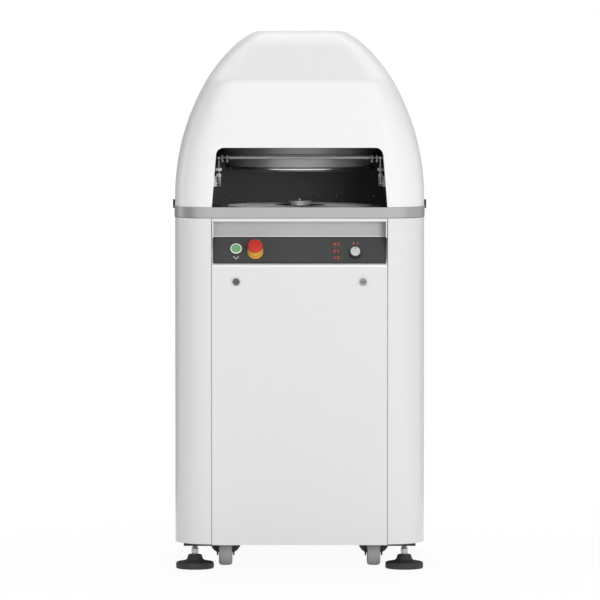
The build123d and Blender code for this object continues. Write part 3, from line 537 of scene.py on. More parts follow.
@dataclass(frozen=True)
class Lamp(Finish):
    """Lit plastic, such as a display's segments."""

    glow: float = 0.7
    unlit: float = 0.4
    dark: float = 0.85
    core_scale: float = 500.0
    roughness: float = 0.35

    def paint(self, canvas: Canvas) -> None:
        """Draw the lit plastic.

        Args:
            canvas: An empty canvas.
        """
        core = canvas.noise(canvas.place(), self.core_scale, 1.0)
        canvas.surface({
            "Base Color": tinted(self.colour, self.unlit),
            "Roughness": self.roughness,
            "Emission Color": self.shade(canvas, core, self.dark, 1.0),
            "Emission Strength": self.glow,
        })


class Finishes:
    """Every finish on the machine."""

    enamel = Enamel("white_enamel", (0.755, 0.757, 0.765))
    hood = Moulding("hood_moulding", grey(0.865, 0.005))
    lining = Plastic("hood_lining", grey(0.085, 0.003), 0.55)
    # A darker copy of the white enamel: painted shade on the recess wall.
    recess = Enamel("recess_grey", grey(0.47, 0.005), 0.4)
    band = BrushedSteel("band_steel", grey(0.53, 0.005), roughness=0.40, contrast=0.07)
    bright = BrushedSteel("bright_steel", (0.66, 0.665, 0.67), Grain.ALONG_X, 0.26)
    rod = BrushedSteel("ground_rod", grey(0.62, 0.01), Grain.UPRIGHT, 0.24)
    table = RayGround("table_plate", grey(0.94, 0.005))
    ring = BrushedSteel("ring_steel", grey(0.40, 0.005), roughness=0.5, contrast=0.06, metallic=0.62)
    skirt = BrushedSteel("skirt_steel", grey(0.30, 0.005), roughness=0.46, contrast=0.06, metallic=0.45)
    hub_steel = BrushedSteel("hub_steel", grey(0.92, 0.005), roughness=0.34, contrast=0.03, metallic=0.4)
    polished = BrushedSteel("polished_steel", grey(0.86, 0.005), roughness=0.28, contrast=0.03)
    satin = BrushedSteel("satin_steel", grey(0.44, 0.005), Grain.ALONG_X, 0.46, 0.06)
    sleeve = BrushedSteel("sleeve_grey", grey(0.42, 0.005), Grain.ALONG_X, 0.5, 0.06, 0.35)
    zinc = BrushedSteel("zinc_plate", (0.60, 0.605, 0.61), Grain.ALONG_X, 0.48, 0.12)
    chrome = BrushedSteel("lock_chrome", (0.74, 0.735, 0.73), Grain.ALONG_X, 0.3, 0.04, 0.5)
    liner = Plastic("liner_charcoal", grey(0.10, 0.003), 0.5)
    strip = Plastic("strip_charcoal", grey(0.057, 0.002), 0.6)
    black = Plastic("black_nylon", grey(0.030, 0.002), 0.5)
    pad = Plastic("pad_white", grey(0.86, -0.01), 0.4)
    nylon = Plastic("natural_nylon", (0.78, 0.77, 0.72), 0.45)
    red = Plastic("stop_red", (0.58, 0.024, 0.016), 0.4, 0.1)
    yellow = Plastic("collar_yellow", (0.76, 0.42, 0.045), 0.4, 0.1)
    # A dark brown copy of the collar's yellow: painted shade round the stop's neck.
    yellow_painted_shade = Plastic("collar_shade", (0.26, 0.13, 0.02), 0.5)
    green = Plastic("start_green", (0.19, 0.46, 0.21), 0.3, 0.3)
    green_rim = Plastic("start_rim", (0.045, 0.20, 0.075), 0.35, 0.2)
    bezel = Plastic("bezel_pale", (0.80, 0.90, 0.81), 0.32, 0.2)
    knob = Plastic("knob_silver", grey(0.63, 0.005), 0.35, 0.2)
    window = Plastic("display_window", (0.048, 0.044, 0.045), 0.3, 0.2)
    digits = Lamp("display_digits", (0.74, 0.13, 0.065))
    print_pale = Plastic("print_pale", grey(0.72), 0.5)
    print_orange = Plastic("print_orange", (0.72, 0.30, 0.06), 0.5)
    print_violet = Plastic("print_violet", (0.46, 0.17, 0.20), 0.5)
    # The lock cores are one metal in two tones: the left darker as painted shade, the right paler as painted
    # light.
    lock_core = CastMetal("lock_core", (0.17, 0.155, 0.145), 0.4)
    lock_pale = CastMetal("lock_pale", grey(0.34), 0.4)
    frame = CastMetal("frame_black", grey(0.030, 0.003), 0.5, 0.0, 0.00012)
    iron = CastMetal("machine_iron", (0.13, 0.135, 0.14))
    motor = CastMetal("motor_blue_grey", (0.075, 0.095, 0.12), 0.48, 0.1)
    bronze = CastMetal("bush_bronze", (0.45, 0.27, 0.09), 0.35, 1.0, 0.00008)
    pack = CastMetal("pack_grey", (0.17, 0.18, 0.20), 0.42, 0.0, 0.00015)
    # Painted shade: the dark strips in the upright joints beside the front panel and the console, with real
    # dust patches.
    shade_strip = Rubber("joint_seal", grey(0.10), dust_share=0.15)
    belt = Rubber("belt_rubber", grey(0.018), dust_share=0.1)
    tyre = Rubber("tyre_grey", grey(0.42, 0.005), grey(0.50))
    foot = Rubber("foot_rubber", grey(0.030, 0.002), grey(0.09), 0.35)
    hub = Plastic("wheel_hub", grey(0.36, 0.01), 0.4)


@dataclass
class Box:
    """The limits of a node."""

    low: Vector
    high: Vector

    @property
    def centre(self) -> Vector:
        """Its middle."""
        return (self.low + self.high) / 2

    @property
    def size(self) -> Vector:
        """Its size along each axis."""
        return self.high - self.low


def smooth(data: bpy.types.Mesh, below: float) -> None:
    """Shade a mesh smooth, apart from edges sharper than an angle in degrees."""
    data.polygons.foreach_set("use_smooth", [True] * len(data.polygons))
    data.set_sharp_from_angle(angle=math.radians(below))


class Shape:
    """A mesh under construction."""

    def __init__(self) -> None:
        """Start empty."""
        self.bm = bmesh.new()

    def slab(self, low: Point, high: Point, edge: float = 0.0, segments: int = 2) -> Shape:
        """Add a block between two corners.

        Args:
            low: Lowest corner.
            high: Highest corner.
            edge: Width of the rounded edges.
            segments: Steps across a rounded edge.

        Returns:
            This shape.
        """
        start, end = Vector(low), Vector(high)
        place = Matrix.Translation((start + end) / 2) @ Matrix.Diagonal((*(end - start), 1.0))
        made = bmesh.ops.create_cube(self.bm, size=1.0, matrix=place)["verts"]
        if edge:
            self._round({rim for vert in made for rim in vert.link_edges}, edge, segments)
        return self

    def twins(
        self, inner: float, outer: float, low: Point, high: Point, edge: float = 0.0, segments: int = 2
    ) -> Shape:
        """Add a block and its mirror image across the middle.

        Args:
            inner: Distance of one face from the middle.
            outer: Distance of the other face.
            low: Lowest Y and Z.
            high: Highest Y and Z.
            edge: Width of the rounded edges.
            segments: Steps across a rounded edge.

        Returns:
            This shape.
        """
        for side in SIDES:
            left, right = sorted((side * inner, side * outer))
            self.slab((left, *low), (right, *high), edge, segments)
        return self

    def rod(
        self, start: Point, way: Point, radius: float, sides: int = 32, edge: float = 0.0, segments: int = 3
    ) -> Shape:
        """Add a round or many-sided bar.

        Args:
            start: Middle of one end.
            way: From there to the middle of the other end.
            radius: Its radius.
            sides: Number of sides.
            edge: Width of the rounded rims.
            segments: Steps across a rounded rim.

        Returns:
            This shape.
        """
        along = Vector(way)
        turn = along.to_track_quat("Z", "Y").to_matrix().to_4x4()
        made = bmesh.ops.create_cone(
            self.bm, cap_ends=True, segments=sides, radius1=radius, radius2=radius, depth=along.length,
            matrix=Matrix.Translation(Vector(start) + along / 2) @ turn,
        )["verts"]
        if edge:
            caps = {face for vert in made for face in vert.link_faces if len(face.verts) == sides}
            self._round({rim for cap in caps for rim in cap.edges}, edge, segments)
        return self

    def lathe(self, profile: Sequence[Point], place: Matrix, steps: int = 48) -> Shape:
        """Spin a profile of radius and height about the Z axis of a place.

        Args:
            profile: Radius and height of each point.
            place: Where the axis stands.
            steps: Steps round the axis.

        Returns:
            This shape.
        """
        chain = [self.bm.verts.new(place @ Vector((radius, 0.0, height))) for radius, height in profile]
        rims = [self.bm.edges.new(pair) for pair in zip(chain, chain[1:])]
        bmesh.ops.spin(
            self.bm, geom=[*chain, *rims], cent=place.translation, axis=place.to_3x3() @ Z_AXIS,
            angle=math.tau, steps=steps, use_merge=True,
        )
        return self

    def sheet(self, wide: float, deep: float) -> Shape:
        """Add a level sheet about the origin.

        Args:
            wide: Its size along X.
            deep: Its size along Y.

        Returns:
            This shape.
        """
        size = Matrix.Diagonal((wide / 2, deep / 2, 1.0, 1.0))
        bmesh.ops.create_grid(self.bm, x_segments=1, y_segments=1, size=1.0, matrix=size)
        return self

    def outline(self, corners: Sequence[Point], first: float, last: float, segments: int = 14) -> Shape:
        """Add a flat face with four corners, which are rounded in pairs.

        Args:
            corners: The corners in order.
            first: Radius of the first two corners.
            last: Radius of the last two corners.
            segments: Steps round a corner.

        Returns:
            This shape.
        """
        made = [self.bm.verts.new(corner) for corner in corners]
        self.bm.faces.new(made)
        for pair, radius in ((made[:2], first), (made[2:], last)):
            if radius:
                self._round(pair, radius, segments)
        return self

    def push(self, faces: Iterable[BMFace], way: Point) -> Shape:
        """Extrude faces along a way.

        Args:
            faces: The faces.
            way: How far, along each axis.

        Returns:
            This shape.
        """
        made = bmesh.ops.extrude_face_region(self.bm, geom=list(faces))["geom"]
        bmesh.ops.translate(self.bm, vec=way, verts=[item for item in made if isinstance(item, BMVert)])
        return self

    def draw(self, loop: Sequence[BMEdge], stretch: Matrix) -> list[BMEdge]:
        """Extrude a loop of edges and stretch the new one.

        Args:
            loop: The edges.
            stretch: What is done to the new loop.

        Returns:
            The new loop.
        """
        made = bmesh.ops.extrude_edge_only(self.bm, edges=loop)["geom"]
        ring = [item for item in made if isinstance(item, BMVert)]
        bmesh.ops.transform(self.bm, matrix=stretch, verts=ring)
        return [item for item in made if isinstance(item, BMEdge)]

    def hollow(self, width: float, height: float) -> Shape:
        """Turn a level face into a raised rim along its own outline.

        Args:
            width: Width of the rim.
            height: Height of the rim.

        Returns:
            This shape.
        """
        whole = list(self.bm.faces)
        bmesh.ops.inset_region(self.bm, faces=whole, thickness=width, use_boundary=True)
        bmesh.ops.delete(self.bm, geom=whole, context="FACES")
        return self.push(self.bm.faces, Z_AXIS * height)

    def move(self, place: Matrix) -> Shape:
        """Move everything made so far."""
        bmesh.ops.transform(self.bm, matrix=place, verts=self.bm.verts)
        return self

    def soften(self, width: float, segments: int = 2, sharper_than: float = 35.0) -> Shape:
        """Round every edge sharper than an angle.

        Args:
            width: Width of the rounded edges.
            segments: Steps across a rounded edge.
            sharper_than: The angle in degrees.

        Returns:
            This shape.
        """
        self.close()
        limit = math.radians(sharper_than)
        rims = [rim for rim in self.bm.edges if rim.is_manifold and rim.calc_face_angle(0.0) > limit]
        self._round(rims, width, segments)
        return self

    def close(self) -> None:
        """Merge doubles and turn the faces outwards."""
        bmesh.ops.remove_doubles(self.bm, verts=self.bm.verts, dist=1e-6)
        bmesh.ops.recalc_face_normals(self.bm, faces=self.bm.faces)

    def _round(self, parts: Iterable[Union[BMEdge, BMVert]], width: float, segments: int) -> None:
        """Round a set of edges, or the corners of a flat face.

        Args:
            parts: Edges, or corner vertices.
            width: Width of the rounding.
            segments: Steps across it.
        """
        geom = list(parts)
        corners = isinstance(geom[0], BMVert)
        bmesh.ops.bevel(
            self.bm, geom=geom, offset=width, offset_type="OFFSET", segments=segments, profile=0.5,
            affect="VERTICES" if corners else "EDGES", clamp_overlap=not corners, material=-1,
        )

    def mesh(self, name: str, smooth_below: float = 35.0) -> bpy.types.Object:
        """Finish the mesh as an object at the origin.

        Args:
            name: The object's name.
            smooth_below: Edges flatter than this angle, in degrees, are smooth.

        Returns:
            The object, in the scene.
        """
        self.close()
        data = bpy.data.meshes.new(name)
        self.bm.to_mesh(data)
        self.bm.free()
        smooth(data, smooth_below)
        made = bpy.data.objects.new(name, data)
        bpy.context.scene.collection.objects.link(made)
        return made


def rectangle(low: Point, high: Point, height: float) -> Profile:
    """Corners of a level rectangle from its lowest and highest X and Y."""
    (left, front), (right, rear) = low[:2], high[:2]
    return tuple((x, y, height) for x, y in ((left, front), (right, front), (right, rear), (left, rear)))


def facing(origin: Point, out: Vector, across: Vector = X_AXIS) -> Matrix:
    """A place whose Z axis points out of a face and whose X axis is given."""
    return Matrix.Translation(origin) @ Matrix((across, out.cross(across), out)).transposed().to_4x4()


class Bench:
    """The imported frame, and the way pieces are put on it."""

    def __init__(self) -> None:
        """Load the frame and keep its box."""
        self.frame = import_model()
        self.cad_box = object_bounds()
        self.joints = {joint["name"]: joint for joint in self.frame["joints"]}

    def box(self, node: str) -> Box:
        """Limits of a CAD node."""
        return Box(*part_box(node))

    def pivot(self, joint: str) -> Vector:
        """A point on a hinge's axis."""
        return Vector(self.joints[joint]["pos_m"])

    def axis(self, joint: str) -> Vector:
        """The direction of a joint."""
        return Vector(self.joints[joint]["axis"]).normalized()

    def dress(self, finish: Finish, *nodes: str) -> None:
        """Give CAD nodes a finish.

        Args:
            finish: The finish.
            nodes: Names of the nodes.
        """
        for node in nodes:
            data = self.frame["nodes"][node].data
            data.materials.clear()
            data.materials.append(finish.material())

    def put(
        self, shape: Shape, name: str, finish: Finish, body: str, slot: str, stands_for: Sequence[str] = ()
    ) -> None:
        """Put a shape on a body; name is the new piece's, and the rest is as for seat."""
        self.seat(shape.mesh(name), finish, body, slot, stands_for)

    def seat(
        self, piece: bpy.types.Object, finish: Finish, body: str, slot: str, stands_for: Sequence[str] = ()
    ) -> None:
        """Give a finished object its material and its body.

        Args:
            piece: The object.
            finish: Its finish.
            body: The CAD body that it rides on.
            slot: The record's material slot; not used.
            stands_for: CAD nodes that it replaces.
        """
        piece.data.materials.append(finish.material())
        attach(piece, body)
        if stands_for:
            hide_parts(*stands_for)
        log.info("%s rides on %s", piece.name, body)


@dataclass(frozen=True)
class Fastener:
    """A screw or nut on a place's XY plane; its socket or stud is a share of its radius."""

    radius: float
    height: float
    socket: float = 0.5

    def pan(self, shape: Shape, place: Matrix) -> None:
        """Add a low domed head with a socket."""
        dome = ((0.0, 0.35), (self.socket, 0.35), (self.socket, 1.0), (0.75, 0.9), (0.95, 0.55), (1.0, 0.0))
        shape.lathe([(self.radius * wide, self.height * tall) for wide, tall in dome], place, 16)

    def nut(self, shape: Shape, place: Matrix) -> None:
        """Add a hexagon with a stud end.

        Args:
            shape: The shape that it is added to.
            place: Where it stands.
        """
        out = place.to_3x3() @ Z_AXIS * self.height
        shape.rod(place.translation, out, self.radius, 6, self.height * 0.12)
        shape.rod(place.translation, out * 1.5, self.radius * self.socket, 16, self.height * 0.1)


@dataclass
class Assembly:
    """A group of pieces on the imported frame."""

    bench: Bench

    def build(self) -> None:
        """Dress the group's CAD nodes and add its pieces."""
        raise NotImplementedError


@dataclass
class Hood(Assembly):
    """The white moulded hood, its catches and hinges."""

    wall: float = 4 * MM
    top_gap: float = 0.02 * MM
    top_fall: float = 0.016
    rim_corner_front: float = 100 * MM
    rim_corner_rear: float = 45 * MM
    side_straight: float = 25 * MM
    side_radius: float = 620 * MM
    side_turn: float = math.radians(30)
    crown_radius: float = 380 * MM
    side_shoulder: float = 52 * MM
    front_shoulder: float = 106 * MM
    rear_shoulder: float = 69 * MM
    bend_height: float = 337 * MM
    bend_radius: float = 24 * MM
    slope: float = math.radians(40)
    mouth_height: float = 159 * MM
    mouth_half_width: float = 235 * MM
    mouth_taper: float = 13 * MM
    mouth_corner: float = 19 * MM
    cut_reach: float = 16 * MM
    edge: float = 1.2 * MM
    edge_angle: float = 50.0
    smooth_angle: float = 60.0
    ceiling_limit: float = 0.9
    level_limit: float = 0.999
    rim_cuts: int = 11
    wall_steps: int = 14
    bend_steps: int = 8
    slope_steps: int = 10
    shoulder_steps: int = 16
    mouth_steps: int = 10
    edge_steps: int = 3
    screw: Fastener = Fastener(3.2 * MM, 1.8 * MM)
    screw_rises: tuple[float, float] = (18 * MM, 38 * MM)
    leaf_inset: float = 15 * MM
    leaf_thick: float = 3 * MM
    rim: float = field(init=False)
    height: float = field(init=False)
    front: float = field(init=False)
    rear_rim: float = field(init=False)
    rim_half_width: float = field(init=False)

    def build(self) -> None:
        """Make the hood and dress what is on it."""
        bench = self.bench
        limits, deck = bench.box("hood_shell"), bench.box("left_casing")
        self.rim = limits.low.z
        self.height = limits.high.z - limits.low.z - self.top_gap
        self.front, self.rear_rim = deck.low.y, deck.high.y
        self.rim_half_width = -deck.low.x
        cover = self._skin().mesh("hood_cover", self.edge_angle)
        self._cut_mouth(cover)
        bench.seat(cover, Finishes.hood, "hood", "white_moulding", ["hood_shell"])
        cover.data.materials.append(Finishes.lining.material())
        bench.dress(Finishes.black, "hood_catches")
        bench.dress(Finishes.frame, "hood_hinges", "hinge_brackets")
        self._hinge_screws()

    def stations(self) -> list[tuple[float, float]]:
        """Front face and height above the rim, from the rim to the flat top.

        Returns:
            Pairs of front Y and height.
        """
        shoulder_z = self.height - self.front_shoulder
        drop = (shoulder_z - self.bend_height) * math.sin(self.slope)
        shoulder_y = self.front + (self.front_shoulder + drop) / math.cos(self.slope)
        bend_start = self.bend_height - self.bend_radius * math.tan(self.slope / 2)
        made = [(self.front, bend_start * step / self.wall_steps) for step in range(self.wall_steps)]
        for step in range(self.bend_steps + 1):
            turn = self.slope * step / self.bend_steps
            back = self.bend_radius * (1 - math.cos(turn))
            made.append((self.front + back, bend_start + self.bend_radius * math.sin(turn)))
        low_y, low_z = made[-1]
        top_y = shoulder_y - self.front_shoulder * math.cos(self.slope)
        top_z = shoulder_z + self.front_shoulder * math.sin(self.slope)
        for step in range(1, self.slope_steps):
            share = step / self.slope_steps
            made.append((low_y + (top_y - low_y) * share, low_z + (top_z - low_z) * share))
        for step in range(self.shoulder_steps + 1):
            turn = self.slope + (math.pi / 2 - self.slope) * step / self.shoulder_steps
            rise = self.front_shoulder * math.sin(turn)
            made.append((shoulder_y - self.front_shoulder * math.cos(turn), shoulder_z + rise))
        return made

    def half_width(self, height: float) -> float:
        """Half the hood's width at a height.

        Args:
            height: Height above the rim.

        Returns:
            The distance of the side from the middle.
        """
        side_x = self.rim_half_width - self.side_radius
        step = self.side_radius - self.crown_radius
        crown_x = side_x + step * math.cos(self.side_turn)
        crown_z = self.side_straight + step * math.sin(self.side_turn)
        shoulder_z = self.height - self.side_shoulder
        reach = self.crown_radius - self.side_shoulder
        turn = math.asin((shoulder_z - crown_z) / reach)
        if height <= self.side_straight:
            return self.rim_half_width
        if height <= self.side_straight + self.side_radius * math.sin(self.side_turn):
            return side_x + math.sqrt(self.side_radius**2 - (height - self.side_straight) ** 2)
        if height <= crown_z + self.crown_radius * math.sin(turn):
            return crown_x + math.sqrt(self.crown_radius**2 - (height - crown_z) ** 2)
        shoulder_x = crown_x + reach * math.cos(turn)
        return shoulder_x + math.sqrt(max(self.side_shoulder**2 - (height - shoulder_z) ** 2, 0.0))

    def rear(self, height: float) -> float:
        """Rear face at a height above the rim."""
        rise = max(height - self.height + self.rear_shoulder, 0.0)
        return self.rear_rim - self.rear_shoulder + math.sqrt(max(self.rear_shoulder**2 - rise**2, 0.0))

    def _skin(self) -> Shape:
        """Draw the skin up from the rim loop by loop, and give it its wall.

        Returns:
            The hood without its mouth, its dark lining marked.
        """
        skin = Shape()
        half = self.rim_half_width
        corners = rectangle((-half, self.front), (half, self.rear_rim), self.rim)
        skin.outline(corners, self.rim_corner_front, self.rim_corner_rear)
        bmesh.ops.delete(skin.bm, geom=list(skin.bm.faces), context="FACES_ONLY")
        straight = [edge for edge in skin.bm.edges if edge.calc_length() > 2 * self.rim_corner_front]
        bmesh.ops.subdivide_edges(skin.bm, edges=straight, cuts=self.rim_cuts)
        loop = list(skin.bm.edges)
        stations = self.stations()
        for before, after in zip(stations, stations[1:]):
            loop = skin.draw(loop, self._between(before, after))
        bmesh.ops.contextual_create(skin.bm, geom=loop)
        skin.close()
        bmesh.ops.solidify(skin.bm, geom=list(skin.bm.faces), thickness=self.wall)
        for face in skin.bm.faces:
            face.material_index = int(self._is_lining(face))
        return skin

    def _is_lining(self, face: BMFace) -> bool:
        """Whether a face is on the inside of the walls or under the flat top.

        Args:
            face: A face of the hood.

        Returns:
            True for the inside.
        """
        middle, way = face.calc_center_median(), face.normal
        ceiling = way.z < -self.ceiling_limit and middle.z > self.rim + self.height / 2
        heart = Vector((0.0, 0.0, self.rim + self.height / 3))
        return ceiling or (heart - middle).dot(way) > 0.0 and abs(way.z) < self.level_limit

    def _between(self, before: tuple[float, float], after: tuple[float, float]) -> Matrix:
        """The stretch from one level section to the next, tipped to the rear on the shoulder.

        Args:
            before: Front Y and height of the first section.
            after: Front Y and height of the next one.

        Returns:
            The stretch as a matrix.
        """
        wide = self.half_width(after[1]) / self.half_width(before[1])
        old_front, old_rear = before[0], self.rear(before[1])
        new_front, new_rear = after[0], self.rear(after[1])
        deep = (new_rear - new_front) / (old_rear - old_front)
        on_shoulder = before[1] > self.height - self.front_shoulder * (1 - math.sin(self.slope)) - self.edge
        fall = self.top_fall / self.shoulder_steps if on_shoulder else 0.0
        return Matrix((
            (wide, 0.0, 0.0, 0.0),
            (0.0, deep, 0.0, new_front - deep * old_front),
            (0.0, -fall, 1.0, after[1] - before[1] + fall * old_front),
            (0.0, 0.0, 0.0, 1.0),
        ))

    def _cut_mouth(self, cover: bpy.types.Object) -> None:
        """Cut the mouth through the front wall and round its edges.

        Args:
            cover: The hood.
        """
        y, low, top = self.front - self.cut_reach, self.rim - self.wall, self.rim + self.mouth_height
        wide, narrow = self.mouth_half_width, self.mouth_half_width - self.mouth_taper
        corners = ((-wide, y, low), (wide, y, low), (narrow, y, top), (-narrow, y, top))
        cutter = Shape().outline(corners, 0.0, self.mouth_corner, self.mouth_steps)
        tool = cutter.push(cutter.bm.faces, Y_AXIS * 2 * self.cut_reach).mesh("mouth_cutter")
        cut = cover.modifiers.new("mouth", "BOOLEAN")
        cut.operation = "DIFFERENCE"
        cut.solver = "EXACT"
        cut.object = tool
        rounded = cover.modifiers.new("edges", "BEVEL")
        rounded.width = self.edge
        rounded.segments = self.edge_steps
        rounded.limit_method = "ANGLE"
        rounded.angle_limit = math.radians(self.edge_angle)
        bpy.context.view_layer.update()
        ready = cover.evaluated_get(bpy.context.evaluated_depsgraph_get())
        finished = bpy.data.meshes.new_from_object(ready)
        cover.modifiers.clear()
        cover.data = finished
        smooth(finished, self.smooth_angle)
        bpy.data.objects.remove(tool)

    def _hinge_screws(self) -> None:
        """Screws through the hinge leaves."""
        x = self.bench.box("hood_hinges").high.x - self.leaf_inset
        z = self.bench.pivot("hood_hinge").z
        screws = Shape()
        for side in SIDES:
            for rise in self.screw_rises:
                spot = (side * x, self.rear_rim + self.leaf_thick, z + rise)
                self.screw.pan(screws, facing(spot, Y_AXIS, -X_AXIS))
        self.bench.put(screws, "hood_hinge_screws", Finishes.zinc, "hood", "frame_paint")


@dataclass
class Cabinet(Assembly):
    """The enamelled casings, panels and stainless band."""

    screw: Fastener = Fastener(4.5 * MM, 2.6 * MM)
    screw_inset: float = 14 * MM
    screw_rows: int = 5
    recess_depth: float = 45 * MM
    recess_height: float = 44 * MM
    lip_height: float = 10 * MM
    shade_plate_thick: float = 0.8 * MM
    shade_plate_gap: float = 1.2 * MM
    shade_edge: float = 0.25 * MM
    cheek_thick: float = 3.8 * MM
    cheek_back: float = 1.0 * MM
    sill_height: float = 3.2 * MM
    sill_drop: float = 0.4 * MM
    sill_thick: float = 3.0 * MM
    frame_edge: float = 0.6 * MM
    corner_front: float = 100 * MM
    corner_rear: float = 45 * MM
    # Sizes of the dark strip of painted shadow under the band.
    shadow_line_height: float = 1.5 * MM
    shadow_line_gap: float = 0.1 * MM
    shadow_line_width: float = 1.6 * MM
    shadow_line_proud: float = 0.4 * MM
    # Sizes of the dark strips of painted shade in the upright joints.
    joint_shade_width: float = 1.3 * MM
    joint_shade_out: float = 0.5 * MM
    joint_shade_proud: float = 0.3 * MM
    joint_shade_depth: float = 1.5 * MM
    joint_shade_end: float = 1.0 * MM
    bead_drop: float = 7.4 * MM
    bead_top: float = 0.2 * MM
    bead_inset: float = 1.4 * MM
    bead_proud: float = 0.9 * MM
    bead_depth: float = 0.5 * MM
    bead_edge: float = 0.5 * MM

    def build(self) -> None:
        """Dress the cabinet."""
        dress = self.bench.dress
        dress(Finishes.enamel, "left_casing", "right_casing", "front_panel", "rear_panel", "console_housing")
        dress(Finishes.band, "table_band")
        dress(Finishes.black, "cable_gland")
        dress(Finishes.frame, "base_plate", "base_rails", "frame_posts", "deck_plate", "motor_shelf")
        self._rear_screws()
        self._recess()
        self._band_shadow_line()
        self._joint_shade_strips()
        self._door_bead()

    def _rear_screws(self) -> None:
        """Screws down both edges of the rear panel."""
        panel = self.bench.box("rear_panel")
        span = panel.size.z - 4 * self.screw_inset
        screws = Shape()
        for side in SIDES:
            x = side * (panel.high.x - self.screw_inset)
            for row in range(self.screw_rows):
                z = panel.low.z + 2 * self.screw_inset + span * row / (self.screw_rows - 1)
                self.screw.pan(screws, facing((x, panel.high.y, z), Y_AXIS, -X_AXIS))
        self.bench.put(screws, "rear_panel_screws", Finishes.zinc, "cabinet", "stainless")

    def _recess(self) -> None:
        """A grey plate on the wall of the console's recess, a darker copy of the white enamel that paints the
        recess's shade, in a frame of a sill and two cheeks.
        """
        console = self.bench.box("console_housing")
        wall = console.low.y + self.recess_depth
        face = wall - self.shade_plate_thick
        top = console.high.z - self.lip_height - self.shade_plate_gap / 2
        low = top - self.recess_height + self.shade_plate_gap
        half = console.high.x - self.shade_plate_gap
        shade_plate = Shape().slab((-half, face, low), (half, wall, top), self.shade_edge)
        # The grey plate is painted shade on the recess wall.
        self.bench.put(shade_plate, "recess_trim", Finishes.recess, "cabinet", "white_enamel")
        sill_low = (-half, wall - self.sill_thick, low - self.sill_drop)
        frame = Shape().slab(sill_low, (half, face, low + self.sill_height), self.frame_edge)
        cheek_low = (console.low.y + self.cheek_back, low)
        frame.twins(half - self.cheek_thick, half, cheek_low, (face, top), self.frame_edge)
        self.bench.put(frame, "recess_frame", Finishes.enamel, "cabinet", "white_enamel")

    def _band_shadow_line(self) -> None:
        """A dark strip under the band's lower edge: a painted shadow line where the band overhangs the
        cabinet.
        """
        left, right = self.bench.box("left_casing"), self.bench.box("right_casing")
        out = self.shadow_line_proud
        proud = Vector((out, out, 0.0))
        corners = rectangle(left.low - proud, right.high + proud, left.high.z - self.shadow_line_height)
        shade_strip = Shape().outline(corners, self.corner_front + out, self.corner_rear + out)
        shade_strip.hollow(self.shadow_line_width, self.shadow_line_height - self.shadow_line_gap)
        # The dark strip is a painted shadow line under the band.
        self.bench.put(shade_strip, "band_seal", Finishes.black, "cabinet", "black_plastic")

    def _joint_shade_strips(self) -> None:
        """Dark strips in the upright joints beside the front panel and the console: painted shade of the
        gaps.
        """
        for node, body in (("front_panel", "front_door"), ("console_housing", "cabinet")):
            panel = self.bench.box(node)
            outer = panel.high.x + self.joint_shade_out
            low = (panel.low.y - self.joint_shade_proud, panel.low.z + self.joint_shade_end)
            high = (panel.low.y + self.joint_shade_depth, panel.high.z - self.joint_shade_end)
            shade_strips = Shape().twins(outer - self.joint_shade_width, outer, low, high, self.shade_edge)
            self.bench.put(shade_strips, f"{node}_seals", Finishes.shade_strip, body, "black_plastic")

    def _door_bead(self) -> None:
        """A rolled bead along the top of the front panel: its shape is real, and its tone, whiter than the
        door's enamel, is a painted highlight.
        """
        panel = self.bench.box("front_panel")
        half = panel.high.x - self.bead_inset
        low = (-half, panel.low.y - self.bead_proud, panel.high.z - self.bead_drop)
        high = (half, panel.low.y + self.bead_depth, panel.high.z - self.bead_top)
        bead = Shape().slab(low, high, self.bead_edge)
        # The bead takes the hood's whiter moulding as a painted highlight along the door's top edge.
        self.bench.put(bead, "door_bead", Finishes.hood, "front_door", "white_enamel")


